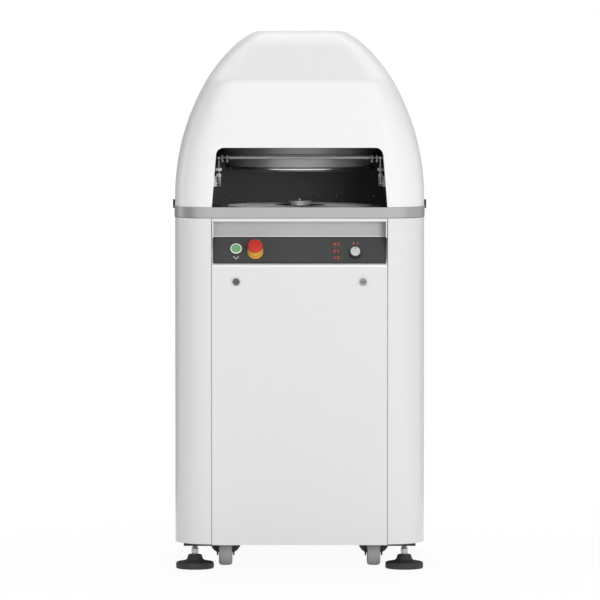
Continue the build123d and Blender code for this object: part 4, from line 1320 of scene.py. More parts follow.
@dataclass
class ControlStrip(Assembly):
    """The sloping strip with its displays, buttons and timer, and the door's locks."""

    panel_thick: float = 3 * MM
    panel_length: float = 82.3 * MM
    # Width of the black rim of painted shade round the strip's face.
    edge_shade_width: float = 5.0 * MM
    start_v: float = 1.5 * MM
    stop_v: float = -6.5 * MM
    timer_v: float = -14 * MM
    display_v: float = -3 * MM
    readings: tuple[str, str, str] = ("48", "65", "80")
    display_pitch: float = 21 * MM
    display_sink: float = 0.5 * MM
    digit_height: float = 8.4 * MM
    digit_width: float = 5.0 * MM
    digit_pitch: float = 9.6 * MM
    segment: float = 1.35 * MM
    segment_share: float = 0.92
    slant: float = math.radians(11)
    print_thick: float = 0.15 * MM
    print_stroke: float = 1.9 * MM
    chevron_v: float = -19.5 * MM
    chevron_half_width: float = 7.2 * MM
    chevron_drop: float = 8.6 * MM
    mark_v: float = 20.5 * MM
    mark_height: float = 6.5 * MM
    bar_u: float = -5.6 * MM
    bar_strokes: Profile = mm((0, 0, 1.2, 6.5), (2.4, 3.25, 2.8, 6.5))
    angle_u: float = 4.6 * MM
    angle_drop: float = 0.5 * MM
    angle_reach: float = 4.2 * MM
    angle_share: float = 0.8
    start_cap: Profile = mm(
        (0, 8.5), (6, 8.4), (8.4, 8), (9, 8.9), (10.3, 9), (10.9, 8.5), (11, 7.5), (11, -5.5), (0, -5.5),
    )
    start_rim: Profile = mm((11.15, 7.6), (11.25, 8.5), (12, 8.5), (12.2, 8.2), (12.2, 7.6), (11.15, 7.6))
    start_ring: Profile = mm((12.2, 7.8), (12.3, 8.6), (15, 8.6), (15.6, 8.2), (15.8, 7.4), (12.2, 7.8))
    stop_flange: Profile = mm(
        (8.1, 3), (21.2, 3), (21.2, 7.4), (20.2, 9), (18.4, 9.4), (17.6, 10.2), (16.4, 16), (16.9, 17),
        (16.9, 19.4), (15.6, 20.4), (15.5, 24), (8.1, 24), (8.1, 3),
    )
    stop_groove: Profile = mm((17, 9.2), (17.8, 10.6), (18.5, 9.9), (18.8, 9), (17, 9.2))
    stop_head: Profile = mm(
        (0, 43), (8, 42.8), (14, 42), (17.6, 40.4), (19.3, 37.8), (19.8, 35), (19.6, 32.2), (18.6, 30.2),
        (16, 29), (8, 29), (8, 13.2), (0, 13.2),
    )
    timer_base: float = 8.3 * MM
    timer_cap: Profile = (
        (0.0, 14.5), (0.80, 14.5), (0.84, 15.0), (0.93, 14.7), (1.0, 13.4), (1.0, 1.4), (0.95, 0.0),
        (0.38, 0.0), (0.38, -16.0), (0.0, -16.0),
    )
    timer_sleeve: Profile = ((0.9, 0.0), (1.04, 0.0), (1.03, 9.4), (1.01, 10.0), (0.9, 10.0), (0.9, 0.0))
    pointer_low: tuple[float, float, float] = (-0.6 * MM, 5 * MM, 22.8 * MM)
    pointer_high: tuple[float, float] = (0.6 * MM, 23 * MM)
    pointer_share: float = 0.78
    lock_core: Profile = mm((0, 0.2), (9, 0.2), (9.8, 0.7), (10.1, 0), (0, -0.5))
    # Corners of the black bar of painted shade for each lock's keyhole.
    keyhole_shade: Profile = mm((-5.6, -1.2, 0.1), (5.6, 1.2, 0.35))
    fine_edge: float = 0.1 * MM
    slope: Matrix = field(init=False)
    timer_x: float = field(init=False)

    SEGMENTS = {
        "0": "abcdef", "1": "bc", "2": "abged", "3": "abgcd", "4": "fgbc",
        "5": "afgcd", "6": "afgedc", "7": "abc", "8": "abcdefg", "9": "abcdfg",
    }

    def build(self) -> None:
        """Dress the strip and its devices."""
        bench = self.bench
        timer = bench.pivot("timer_turn")
        self.timer_x = timer.x
        middle = facing((0.0, timer.y, timer.z), bench.axis("timer_turn"))
        self.slope = middle @ Matrix.Translation((0.0, -self.timer_v, 0.0))
        bench.dress(Finishes.strip, "control_panel")
        bench.dress(Finishes.window, "led_displays")
        # The start bezel is black so that its side under the pale ring shows a dark crescent: painted shadow.
        bench.dress(Finishes.black, "start_bezel", "timer_skirt")
        bench.dress(Finishes.chrome, "left_lock", "right_lock")
        self._edge_shade()
        self._digits()
        self._prints()
        self._start()
        self._stop()
        self._timer()
        self._locks()

    def spot(self, u: float, v: float, h: float = 0.0) -> Matrix:
        """A place on the slope, by its way across, up and out."""
        return self.slope @ Matrix.Translation((u, v, h))

    def _edge_shade(self) -> None:
        """A black rim round the strip's face: painted shade that darkens the strip at its edges."""
        rim = Shape().sheet(self.bench.box("control_panel").size.x, self.panel_length)
        rim.hollow(self.edge_shade_width, self.print_thick).move(self.spot(0.0, 0.0, self.panel_thick))
        # The black rim is painted shade along the strip's edges.
        self.bench.put(rim, "strip_border", Finishes.black, "cabinet", "panel_plastic")

    def _digits(self) -> None:
        """Seven-segment digits in the three windows."""
        middle = self.bench.box("led_displays").centre.x
        digits = Shape()
        for row, reading in zip((-1, 0, 1), self.readings):
            for column, digit in zip((-0.5, 0.5), reading):
                v = self.display_v + row * self.display_pitch
                self._digit(digits, middle + column * self.digit_pitch, v, digit)
        digits.move(self.spot(0.0, 0.0, self.panel_thick - self.display_sink))
        self.bench.put(digits, "display_digits", Finishes.digits, "cabinet", "display_red")

    def _digit(self, shape: Shape, u: float, v: float, digit: str) -> None:
        """Add one digit's segments, each a flat long hexagon.

        Args:
            shape: The shape that they are added to.
            u: The digit's way across.
            v: Its way up.
            digit: The digit.
        """
        wide, tall, thin = self.digit_width / 2, self.digit_height / 4, self.segment / 2
        spots = {
            "a": (0.0, 2 * tall, True), "g": (0.0, 0.0, True), "d": (0.0, -2 * tall, True),
            "f": (-wide, tall, False), "b": (wide, tall, False),
            "e": (-wide, -tall, False), "c": (wide, -tall, False),
        }
        for name in self.SEGMENTS[digit]:
            du, dv, level = spots[name]
            long = (wide if level else tall) * self.segment_share
            turn = Matrix.Rotation(0.0 if level else math.pi / 2 - self.slant, 4, "Z")
            spot = Matrix.Translation((u + du + dv * math.tan(self.slant), v + dv, 0.0))
            place = spot @ turn @ Matrix.Diagonal((long, thin, 1.0, 1.0))
            made = bmesh.ops.create_circle(shape.bm, cap_ends=True, radius=1.0, segments=6, matrix=place)
            faces = {face for vert in made["verts"] for face in vert.link_faces}
            shape.push(faces, Z_AXIS * self.print_thick)

    def _prints(self) -> None:
        """A chevron under the start button, and a bar and an angle over the timer."""
        start, reach = self.bench.box("start_bezel").centre.x, self.mark_height / 2
        low_v = self.chevron_v - self.chevron_drop
        chevron = [(start, low_v, start + side * self.chevron_half_width, self.chevron_v) for side in SIDES]
        u, v = self.timer_x + self.bar_u, self.mark_v - reach
        bar = [(u + du, v + dv, u + end_u, v + end_v) for du, dv, end_u, end_v in self.bar_strokes]
        u, v = self.timer_x + self.angle_u, self.mark_v - self.angle_drop
        angle = [(u, v, u + self.angle_reach, v + side * reach * self.angle_share) for side in SIDES]
        for name, strokes, finish in (
            ("start_chevron", chevron, Finishes.print_pale),
            ("timer_mark_bar", bar, Finishes.print_orange),
            ("timer_mark_angle", angle, Finishes.print_violet),
        ):
            mark = Shape()
            for stroke in strokes:
                self._stroke(mark, Vector((*stroke[:2], 0.0)), Vector((*stroke[2:], 0.0)))
            mark.move(self.spot(0.0, 0.0, self.panel_thick))
            self.bench.put(mark, name, finish, "cabinet", "panel_plastic")

    def _stroke(self, shape: Shape, first: Vector, last: Vector) -> None:
        """Add one printed stroke between two points of the strip's face.

        Args:
            shape: The shape that it is added to.
            first: One end.
            last: The other end.
        """
        along = last - first
        turn = Matrix.Rotation(math.atan2(along.y, along.x), 4, "Z")
        size = Matrix.Diagonal((along.length, self.print_stroke, self.print_thick, 1.0))
        middle = (first + last) / 2 + Z_AXIS * (self.print_thick / 2)
        bmesh.ops.create_cube(shape.bm, size=1.0, matrix=Matrix.Translation(middle) @ turn @ size)

    def _start(self) -> None:
        """The start button: a dished cap in a dark rim, inside the bezel's pale ring."""
        place = self.spot(self.bench.box("start_bezel").centre.x, self.start_v)
        profiles = (self.start_cap, self.start_rim, self.start_ring)
        cap, rim, ring = (Shape().lathe(profile, place) for profile in profiles)
        self.bench.put(cap, "start_cap", Finishes.green, "start", "start_green", ["start_button"])
        self.bench.put(rim, "start_rim", Finishes.green_rim, "cabinet", "bezel_plastic")
        self.bench.put(ring, "start_ring", Finishes.bezel, "cabinet", "bezel_plastic")

    def _stop(self) -> None:
        """The stop: a yellow collar with a stepped neck, a dark brown ring of painted shade where the neck
        meets the flange, and a crowned mushroom head.
        """
        place = self.spot(self.bench.box("stop_button").centre.x, self.stop_v)
        profiles = (self.stop_flange, self.stop_groove, self.stop_head)
        flange, neck_shade, head = (Shape().lathe(profile, place, 64) for profile in profiles)
        self.bench.put(flange, "stop_flange", Finishes.yellow, "cabinet", "collar_yellow", ["stop_collar"])
        # The dark brown ring is painted shade where the neck meets the flange.
        self.bench.put(neck_shade, "stop_groove", Finishes.yellow_painted_shade, "cabinet", "collar_yellow")
        self.bench.put(head, "stop_head", Finishes.red, "stop", "stop_red", ["stop_button"])

    def _timer(self) -> None:
        """The timer's cap with a chamfered rim, a pointer line and a dark sleeve.

        The profiles of cap and sleeve are shares of the cap's radius and millimetres above its base.
        """
        place = self.spot(self.timer_x, self.timer_v)
        foot = place @ Matrix.Translation(Z_AXIS * self.timer_base)
        across = self.bench.box("timer_knob").size.x / 2
        cap, sleeve = (
            Shape().lathe([(across * wide, tall * MM) for wide, tall in profile], foot, 72)
            for profile in (self.timer_cap, self.timer_sleeve)
        )
        right, top = self.pointer_high
        pointer = Shape().slab(self.pointer_low, (right, across * self.pointer_share, top), self.fine_edge)
        self.bench.put(cap, "timer_cap", Finishes.knob, "timer", "knob_silver", ["timer_knob"])
        self.bench.put(pointer.move(place), "timer_pointer", Finishes.black, "timer", "knob_silver")
        self.bench.put(sleeve, "timer_sleeve", Finishes.black, "timer", "knob_silver")

    def _locks(self) -> None:
        """Cores in the two lock rims, the left darker as painted shade and the right paler as painted light,
        each with a black bar of painted shade for its keyhole.
        """
        # The left core's darker tone is painted shade and the right core's paler tone is painted light.
        for name, finish in (("left", Finishes.lock_core), ("right", Finishes.lock_pale)):
            pivot, body = self.bench.pivot(f"{name}_lock_turn"), f"door_lock_{name}"
            place = facing((pivot.x, self.bench.box(f"{name}_lock").low.y, pivot.z), -Y_AXIS)
            core = Shape().lathe(self.lock_core, place, 40)
            # The black bar stands for the keyhole: painted shade.
            slot = Shape().slab(*self.keyhole_shade, self.fine_edge).move(place)
            self.bench.put(core, f"{name}_lock_core", finish, body, "lock_chrome")
            self.bench.put(slot, f"{name}_keyhole_shade", Finishes.black, body, "lock_chrome")


@dataclass
class Chamber(Assembly):
    """The dark chamber with its table and trip bar."""

    pin_height: float = 18 * MM
    hub_height: float = 12.5 * MM
    hub_top_radius: float = 34 * MM
    hub_bore: float = 2.3 * MM
    hub_cap: float = 0.4 * MM
    hub_cap_inset: float = 2.0 * MM
    hub_side_inset: float = 1.2 * MM
    hub_grooves: int = 6
    hub_taper: float = 9 * MM
    groove_lean: float = 0.14
    disc_radius: float = 72 * MM
    disc_bore_share: float = 0.62
    disc_thick: float = 1.0 * MM
    disc_edge: float = 0.6 * MM
    plate_radius: float = 196 * MM
    plate_lift: float = 0.05 * MM
    plate_skirt: float = 1.004
    plate_bore: float = 0.98
    ridge_count: int = 360
    ridge_height: float = 1.8 * MM
    ridge_fade: float = 0.45
    ridge_smooth: float = 0.3
    screw: Fastener = Fastener(2.4 * MM, 1.6 * MM)
    screw_count: int = 9
    screw_span: float = 0.42
    screw_rise: float = 15 * MM
    liner_wall: float = 2 * MM
    arm_inset: float = 7 * MM
    bar_drop: float = 3 * MM
    collar_height: float = 8 * MM
    collars: Profile = mm((33, 9.5), (17.5, 7.2))
    collar_edge: float = 0.8 * MM
    stud_insets: tuple[float, float] = (9 * MM, 22 * MM)
    stud_drop: float = 13 * MM
    stud_radius: float = 2.2 * MM
    stud_length: float = 19 * MM
    stud_nuts: Profile = mm((2, 4, 4.4), (16, 3.5, 3.6))
    stud_edge: float = 0.4 * MM
    sleeve_radius: float = 4.3 * MM
    sleeve_inset: float = 27 * MM
    end_inset: float = 4 * MM
    end_length: float = 10 * MM
    end_radius: float = 4.2 * MM
    cover_reach: float = 30 * MM
    cover_gap: float = 0.2 * MM
    cover_foot: float = 1 * MM
    cover_thick: float = 5 * MM
    cover_rise: float = 10 * MM
    cover_edge: float = 1.2 * MM
    ear_inner: float = 15.6 * MM
    ear_outer: float = 4 * MM
    ear_front: float = 3 * MM
    ear_back: float = 2 * MM
    ear_foot: float = 1 * MM
    ear_edge: float = 2 * MM
    cover_screw_inset: float = 6 * MM
    axis: Vector = field(init=False)
    table_top: float = field(init=False)

    def build(self) -> None:
        """Dress the chamber."""
        bench = self.bench
        self.axis = bench.pivot("table_orbit")
        self.table_top = bench.box("orbit_table").high.z - self.pin_height
        bench.dress(Finishes.liner, "chamber_liner")
        bench.dress(Finishes.table, "orbit_table")
        bench.dress(Finishes.satin, "trip_bar")
        bench.dress(Finishes.nylon, "trip_brackets")
        self._hub()
        self._plate()
        self._liner_screws()
        self._trip_nuts()
        self._bracket_covers()

    def on_table(self, rise: float = 0.0) -> Matrix:
        """A place on the table's axis, above its top."""
        return Matrix.Translation((self.axis.x, self.axis.y, self.table_top + rise))

    def _hub(self) -> None:
        """The table's hub under its centre pin, grooved and narrower at its foot, on a black disc of painted
        shade round the hub's foot.
        """
        top, side = self.hub_height + self.hub_cap, self.hub_top_radius - self.hub_side_inset
        profile = [(self.hub_bore, top), (self.hub_top_radius - self.hub_cap_inset, top)]
        pitch = (self.hub_height - self.hub_cap) / self.hub_grooves
        for step in range(self.hub_grooves):
            radius = side - self.hub_taper * step / self.hub_grooves
            height = self.hub_height - pitch * step
            profile.extend(((radius, height), (radius + pitch * self.groove_lean, height - pitch)))
        profile.extend(((self.hub_bore, 0.0), (self.hub_bore, top)))
        hub = Shape().lathe(profile, self.on_table(), 64)
        self.bench.put(hub, "table_hub", Finishes.hub_steel, "rounding_table", "stainless")
        bore, rim, thick = self.hub_top_radius * self.disc_bore_share, self.disc_radius, self.disc_thick
        edge = self.disc_edge
        section = ((bore, 0.0), (rim, 0.0), (rim, edge), (rim - edge, thick), (bore, thick), (bore, 0.0))
        # The black disc is painted shade round the hub's foot.
        shade_disc = Shape().lathe(section, self.on_table(), 96)
        self.bench.put(shade_disc, "table_disc", Finishes.black, "rounding_table", "black_plastic")

    def _plate(self) -> None:
        """The table's top plate with fine ridges that run out from its middle and fade at its rim."""
        plate = Shape()
        ring = bmesh.ops.create_circle(
            plate.bm, cap_ends=False, radius=self.disc_radius, segments=2 * self.ridge_count
        )["verts"]
        bmesh.ops.translate(plate.bm, vec=Z_AXIS * self.ridge_height, verts=ring[::2])
        inner = list(plate.bm.edges)
        outward = ((self.plate_radius / self.disc_radius, self.ridge_fade), (self.plate_skirt, 0.0))
        for steps in (outward, ((self.plate_bore, 0.0),)):
            loop = inner
            for wide, tall in steps:
                loop = plate.draw(loop, Matrix.Diagonal((wide, wide, tall, 1.0)))
        piece = plate.move(self.on_table(self.plate_lift)).mesh("table_top_plate", self.ridge_smooth)
        self.bench.seat(piece, Finishes.table, "rounding_table", "stainless")

    def _liner_screws(self) -> None:
        """A row of screws along the foot of the liner's back."""
        liner = self.bench.box("chamber_liner")
        y, z = liner.high.y - self.liner_wall, self.table_top + self.screw_rise
        screws = Shape()
        for number in range(self.screw_count):
            x = liner.size.x * self.screw_span * (2 * number / (self.screw_count - 1) - 1)
            self.screw.pan(screws, facing((x, y, z), -Y_AXIS))
        self.bench.put(screws, "liner_screws", Finishes.zinc, "cabinet", "stainless")

    def _trip_nuts(self) -> None:
        """Nylon collars on the trip bar's arms, studs near its ends and a sleeve between them."""
        bar, pivot = self.bench.box("trip_bar"), self.bench.pivot("trip_pivot")
        arm, z = bar.high.x - self.arm_inset, bar.high.z - self.bar_drop
        collars, studs, sleeve = Shape(), Shape(), Shape()
        for side in SIDES:
            for rise, radius in self.collars:
                foot = (side * arm, pivot.y, pivot.z + rise)
                collars.rod(foot, Z_AXIS * self.collar_height, radius, 6, self.collar_edge)
            for inset in self.stud_insets:
                foot = Vector((side * (arm - inset), pivot.y, z - self.stud_drop))
                studs.rod(foot, Z_AXIS * self.stud_length, self.stud_radius, 16, self.stud_edge)
                for rise, height, radius in self.stud_nuts:
                    studs.rod(foot + Z_AXIS * rise, Z_AXIS * height, radius, 6, self.stud_edge)
            half = X_AXIS * side * (arm - self.sleeve_inset)
            sleeve.rod((0.0, pivot.y, z), half, self.sleeve_radius, 32, self.collar_edge)
            end = (side * (arm - self.end_inset), pivot.y, z)
            studs.rod(end, X_AXIS * side * self.end_length, self.end_radius, 20, self.collar_edge)
        self.bench.put(collars, "trip_collars", Finishes.nylon, "trip", "stainless")
        self.bench.put(studs, "trip_studs", Finishes.zinc, "trip", "stainless")
        self.bench.put(sleeve, "trip_sleeve", Finishes.sleeve, "trip", "stainless")

    def _bracket_covers(self) -> None:
        """Pale carrier plates behind the trip bar's pivots, with ears beside its arms."""
        brackets = self.bench.box("trip_brackets")
        low, high = brackets.low, brackets.high
        top, inset = high.z + self.cover_rise, self.cover_screw_inset
        inner, outer = high.x - self.cover_reach, high.x - self.cover_gap
        back = (high.y + self.cover_thick, top)
        plates = Shape().twins(inner, outer, (high.y, low.z + self.cover_foot), back, self.cover_edge)
        inner, outer = high.x - self.ear_inner, high.x - self.ear_outer
        ear_low, ear_high = (low.y + self.ear_front, high.z - self.ear_foot), (high.y - self.ear_back, top)
        plates.twins(inner, outer, ear_low, ear_high, self.ear_edge, 3)
        for side in SIDES:
            self.screw.pan(plates, facing((side * (high.x - inset), low.y, low.z + inset), -Y_AXIS))
        self.bench.put(plates, "trip_bracket_plates", Finishes.nylon, "cabinet", "stainless")


@dataclass
class PressHead(Assembly):
    """The press ring, pads, knives, beam and columns."""

    column_nut: Fastener = Fastener(17 * MM, 9 * MM, 0.6)
    rod_nut: Fastener = Fastener(10 * MM, 6 * MM)
    beam_bolt: Fastener = Fastener(8 * MM, 6 * MM, 0.55)
    nut_inset: float = 15 * MM
    bolt_insets: tuple[float, float] = (150 * MM, 220 * MM)
    bolt_row: float = 24 * MM
    ring_foot: Profile = mm(
        (199.4, 0.4), (201.4, 1.4), (203, 4.6), (203.4, 7), (202.6, 9.6), (200.6, 11.6), (199.4, 12),
        (199.4, 0.4),
    )
    ring_skirt: Profile = mm(
        (206.4, 39.5), (208.8, 39.5), (209.4, 40.4), (209.4, 46.6), (208.8, 47.5), (207.6, 48.2), (207.4, 70),
        (206.4, 70), (206.4, 39.5),
    )

    def build(self) -> None:
        """Dress the head."""
        dress = self.bench.dress
        dress(Finishes.ring, "press_ring")
        dress(Finishes.pad, "press_pads")
        dress(Finishes.bright, "knife_grid", "knife_yoke")
        dress(Finishes.iron, "head_beam", "crosshead", "bearing_housing")
        dress(Finishes.rod, "guide_columns", "piston_rod", "knife_cylinder")
        dress(Finishes.bronze, "column_bushes")
        self._fasteners()
        self._ring_dress()

    def _fasteners(self) -> None:
        """Nuts on the columns and the knives' rods, and bolts through the beam."""
        bench = self.bench
        beam, columns, yoke = bench.box("head_beam"), bench.box("guide_columns"), bench.box("knife_yoke")
        nuts, bolts, rods = Shape(), Shape(), Shape()
        for side in SIDES:
            spot = (side * (columns.high.x - self.nut_inset), 0.0, columns.high.z)
            self.column_nut.nut(nuts, facing(spot, Z_AXIS))
            spot = (0.0, side * (yoke.high.y - self.nut_inset), yoke.high.z)
            self.rod_nut.nut(rods, facing(spot, Z_AXIS))
            for inset in self.bolt_insets:
                for row in SIDES:
                    spot = (side * (beam.high.x - inset), row * self.bolt_row, beam.high.z)
                    self.beam_bolt.pan(bolts, facing(spot, Z_AXIS))
        bench.put(nuts, "column_nuts", Finishes.zinc, "press_head", "ground_steel")
        bench.put(bolts, "beam_bolts", Finishes.zinc, "press_head", "ground_steel")
        bench.put(rods, "yoke_nuts", Finishes.zinc, "knives", "stainless")

    def _ring_dress(self) -> None:
        """The ring's rolled foot, and the flanged skirt that closes it up to the head."""
        ring = self.bench.box("press_ring")
        place = Matrix.Translation((ring.centre.x, ring.centre.y, ring.low.z))
        foot, skirt = (Shape().lathe(profile, place, 128) for profile in (self.ring_foot, self.ring_skirt))
        self.bench.put(foot, "press_ring_foot", Finishes.polished, "press_head", "stainless")
        self.bench.put(skirt, "press_ring_skirt", Finishes.skirt, "press_head", "stainless")


@dataclass
class Drive(Assembly):
    """Motor, cranks, belt and hydraulics inside the cabinet."""

    motor_radius: float = 75 * MM
    fin_count: int = 13
    fin_reach: float = 9 * MM
    fin_root: float = 2 * MM
    fin_thick: float = 3 * MM
    fins_from: float = 52 * MM
    fins_to: float = 24 * MM
    terminal_half_width: float = 45 * MM
    terminal_reach: float = 42 * MM
    terminal_root: float = 6 * MM
    terminal_low: float = 110 * MM
    terminal_high: float = 10 * MM
    terminal_edge: float = 5 * MM
    door_inset: float = 5 * MM
    door_end: float = 8 * MM
    door_proud: float = 3 * MM
    door_root: float = 1 * MM
    door_edge: float = 1.5 * MM
    latch_inset: float = 18 * MM
    latch_reach: float = 4 * MM
    latch_radius: float = 9 * MM
    fine_edge: float = 1 * MM
    tank_height: float = 150 * MM
    filler: tuple[float, float] = (30 * MM, 165 * MM)
    filler_height: float = 22 * MM
    filler_radius: float = 17 * MM
    filler_edge: float = 2 * MM
    union: tuple[float, float, float] = (60 * MM, 160 * MM, 200 * MM)
    union_count: int = 3
    union_pitch: float = 30 * MM
    union_hexagon: tuple[float, float] = (10 * MM, 9 * MM)
    union_neck: tuple[float, float] = (18 * MM, 6 * MM)

    def build(self) -> None:
        """Dress the drive."""
        dress = self.bench.dress
        dress(Finishes.rod, "crank_shaft", "idle_crank_left", "idle_crank_right", "press_cylinder")
        dress(Finishes.iron, "crank_pulley", "motor_pulley")
        dress(Finishes.belt, "drive_belt")
        dress(Finishes.motor, "motor")
        dress(Finishes.pack, "power_pack", "electric_box")
        self._motor_fins()
        self._box_door()
        self._pack_fittings()

    def _motor_fins(self) -> None:
        """Cooling fins round the motor's body and its terminal box."""
        motor, centre = self.bench.box("motor"), self.bench.pivot("motor_spin")
        low, high = motor.low.z + self.fins_from, motor.high.z - self.fins_to
        root, rim = self.motor_radius - self.fin_root, self.motor_radius + self.fin_reach
        thick = self.fin_thick
        section = ((root, 0.0), (rim, thick * 0.2), (rim, thick * 0.8), (root, thick), (root, 0.0))
        fins = Shape()
        for number in range(self.fin_count):
            z = low + (high - low) * number / (self.fin_count - 1)
            fins.lathe(section, Matrix.Translation((centre.x, centre.y, z)))
        self.bench.put(fins, "motor_fins", Finishes.motor, "cabinet", "machine_iron")
        half, side = self.terminal_half_width, centre.y - self.motor_radius
        terminal = Shape().slab(
            (centre.x - half, side - self.terminal_reach, high - self.terminal_low),
            (centre.x + half, side + self.terminal_root, high - self.terminal_high),
            self.terminal_edge,
            3,
        )
        self.bench.put(terminal, "motor_terminal_box", Finishes.black, "cabinet", "machine_iron")

    def _box_door(self) -> None:
        """The electric box's door and its latch."""
        box = self.bench.box("electric_box")
        face = box.low.y - self.door_proud
        door = Shape().slab(
            (box.low.x + self.door_inset, face, box.low.z + self.door_end),
            (box.high.x - self.door_inset, box.low.y + self.door_root, box.high.z - self.door_end),
            self.door_edge,
        )
        spot = (box.low.x + self.latch_inset, face, box.centre.z)
        latch = Shape().rod(spot, -Y_AXIS * self.latch_reach, self.latch_radius, 32, self.fine_edge)
        self.bench.put(door, "electric_box_door", Finishes.pack, "cabinet", "pack_paint")
        self.bench.put(latch, "electric_box_latch", Finishes.zinc, "cabinet", "lock_chrome")

    def _pack_fittings(self) -> None:
        """Filler cap and hose unions on the power pack."""
        corner = self.bench.box("power_pack").low
        filler = corner + Vector((*self.filler, self.tank_height))
        fittings = Shape().rod(filler, Z_AXIS * self.filler_height, self.filler_radius, 24, self.filler_edge)
        for step in range(self.union_count):
            foot = corner + Vector(self.union) + X_AXIS * self.union_pitch * step
            for (height, radius), sides in ((self.union_hexagon, 6), (self.union_neck, 20)):
                fittings.rod(foot, Z_AXIS * height, radius, sides, self.fine_edge)
        self.bench.put(fittings, "power_pack_fittings", Finishes.zinc, "cabinet", "ground_steel")


def mirrored(half: Sequence[Point]) -> list[Point]:
    """A profile of radius and height with its mirror image, from low to high."""
    return [*((radius, -height) for radius, height in half), *reversed(half)]


@dataclass
class Undercarriage(Assembly):
    """Castors and levelling feet; the wheels' profiles are shares of radius and half width."""

    tyre: Profile = ((0.72, 0.92), (0.86, 1.0), (0.955, 0.86), (1.0, 0.5))
    hub: Profile = ((0.0, 0.98), (0.30, 0.98), (0.34, 0.78), (0.6768, 0.70), (0.72, 0.88))
    cheek: Profile = mm((17.2, 38), (20, 36), (26, 40), (32, 44), (37, 51), (42, 60), (43, 84), (17.2, 84))
    cheek_depth: float = 34 * MM
    cheek_edge: float = 1.6 * MM
    pad_rim: Profile = mm((-2, 0), (-0.4, 1.2), (0, 3), (0, 13), (-1.2, 16.4), (-5, 18))
    pad_crown: Profile = mm(
        (31, 20.5), (24, 23), (21, 27), (18.6, 35.5), (17.2, 37), (10, 37), (9, 34), (0, 34),
    )
    stem_foot: float = 33 * MM
    thread_foot: float = 34 * MM
    thread_root: float = 6.9 * MM
    thread_crest: float = 7.45 * MM
    thread_pitch: float = 2.0 * MM
    hexagon_foot: float = 39 * MM
    hexagon_height: float = 15 * MM
    hexagon_radius: float = 10.8 * MM
    hexagon_edge: float = 1 * MM

    def build(self) -> None:
        """Dress the castors and make the feet."""
        self.bench.dress(Finishes.frame, "castor_fork_left", "castor_fork_right", "rear_castor_forks")
        for name in ("left", "right"):
            self._foot(name)
            self._cheeks(name)
            for row in ("front", "rear"):
                self._wheel(f"{row}_wheel_{name}", f"{name}_{row}_wheel")

    def _foot(self, name: str) -> None:
        """A rubber pad with a stepped crown, and its threaded stem.

        Args:
            name: The foot's side.
        """
        limits, body = self.bench.box(f"foot_{name}"), f"{name}_foot"
        centre, top = limits.centre, limits.high.z
        place = Matrix.Translation((centre.x, centre.y, 0.0))
        rim = [(limits.size.x / 2 + out, z) for out, z in self.pad_rim]
        pad = Shape().lathe([(0.0, 0.0), *rim, *self.pad_crown], place, 72)
        self.bench.put(pad, f"foot_{name}_pad", Finishes.foot, body, "black_plastic", [f"foot_{name}"])
        profile = [(0.0, self.stem_foot), (self.thread_root, self.stem_foot)]
        z = self.thread_foot
        while z < top - self.thread_pitch:
            profile.extend(((self.thread_root, z), (self.thread_crest, z + self.thread_pitch / 2)))
            z += self.thread_pitch
        stem = Shape().lathe([*profile, (self.thread_root, top), (0.0, top)], place, 32)
        hexagon = (centre.x, centre.y, self.hexagon_foot)
        stem.rod(hexagon, Z_AXIS * self.hexagon_height, self.hexagon_radius, 6, self.hexagon_edge)
        self.bench.put(stem, f"foot_{name}_stem", Finishes.zinc, body, "ground_steel")

    def _cheeks(self, name: str) -> None:
        """Moulded thread guards on both sides of a front wheel.

        Args:
            name: The wheel's side.
        """
        wheel = self.bench.box(f"front_wheel_{name}").centre
        y = wheel.y - self.cheek_depth / 2
        cheeks = Shape()
        for side in SIDES:
            corners = [cheeks.bm.verts.new((wheel.x + side * x, y, z)) for x, z in self.cheek]
            cheeks.push([cheeks.bm.faces.new(corners)], Y_AXIS * self.cheek_depth)
        cheeks.soften(self.cheek_edge, 3)
        self.bench.put(cheeks, f"castor_cheeks_{name}", Finishes.frame, f"{name}_castor", "frame_paint")

    def _wheel(self, node: str, body: str) -> None:
        """A grey tyre on its hub, with a bearing cap on each side.

        Args:
            node: The CAD wheel.
            body: The body that it turns with.
        """
        limits = self.bench.box(node)
        place = facing(limits.centre, X_AXIS, Y_AXIS)
        tyre, hub = (
            mirrored([(limits.size.z / 2 * wide, limits.size.x / 2 * tall) for wide, tall in profile])
            for profile in (self.tyre, self.hub)
        )
        rubber = Shape().lathe([*tyre, tyre[0]], place, 64)
        self.bench.put(rubber, f"{node}_tyre", Finishes.tyre, body, "wheel_rubber", [node])
        self.bench.put(Shape().lathe(hub, place), f"{node}_hub", Finishes.hub, body, "wheel_rubber")


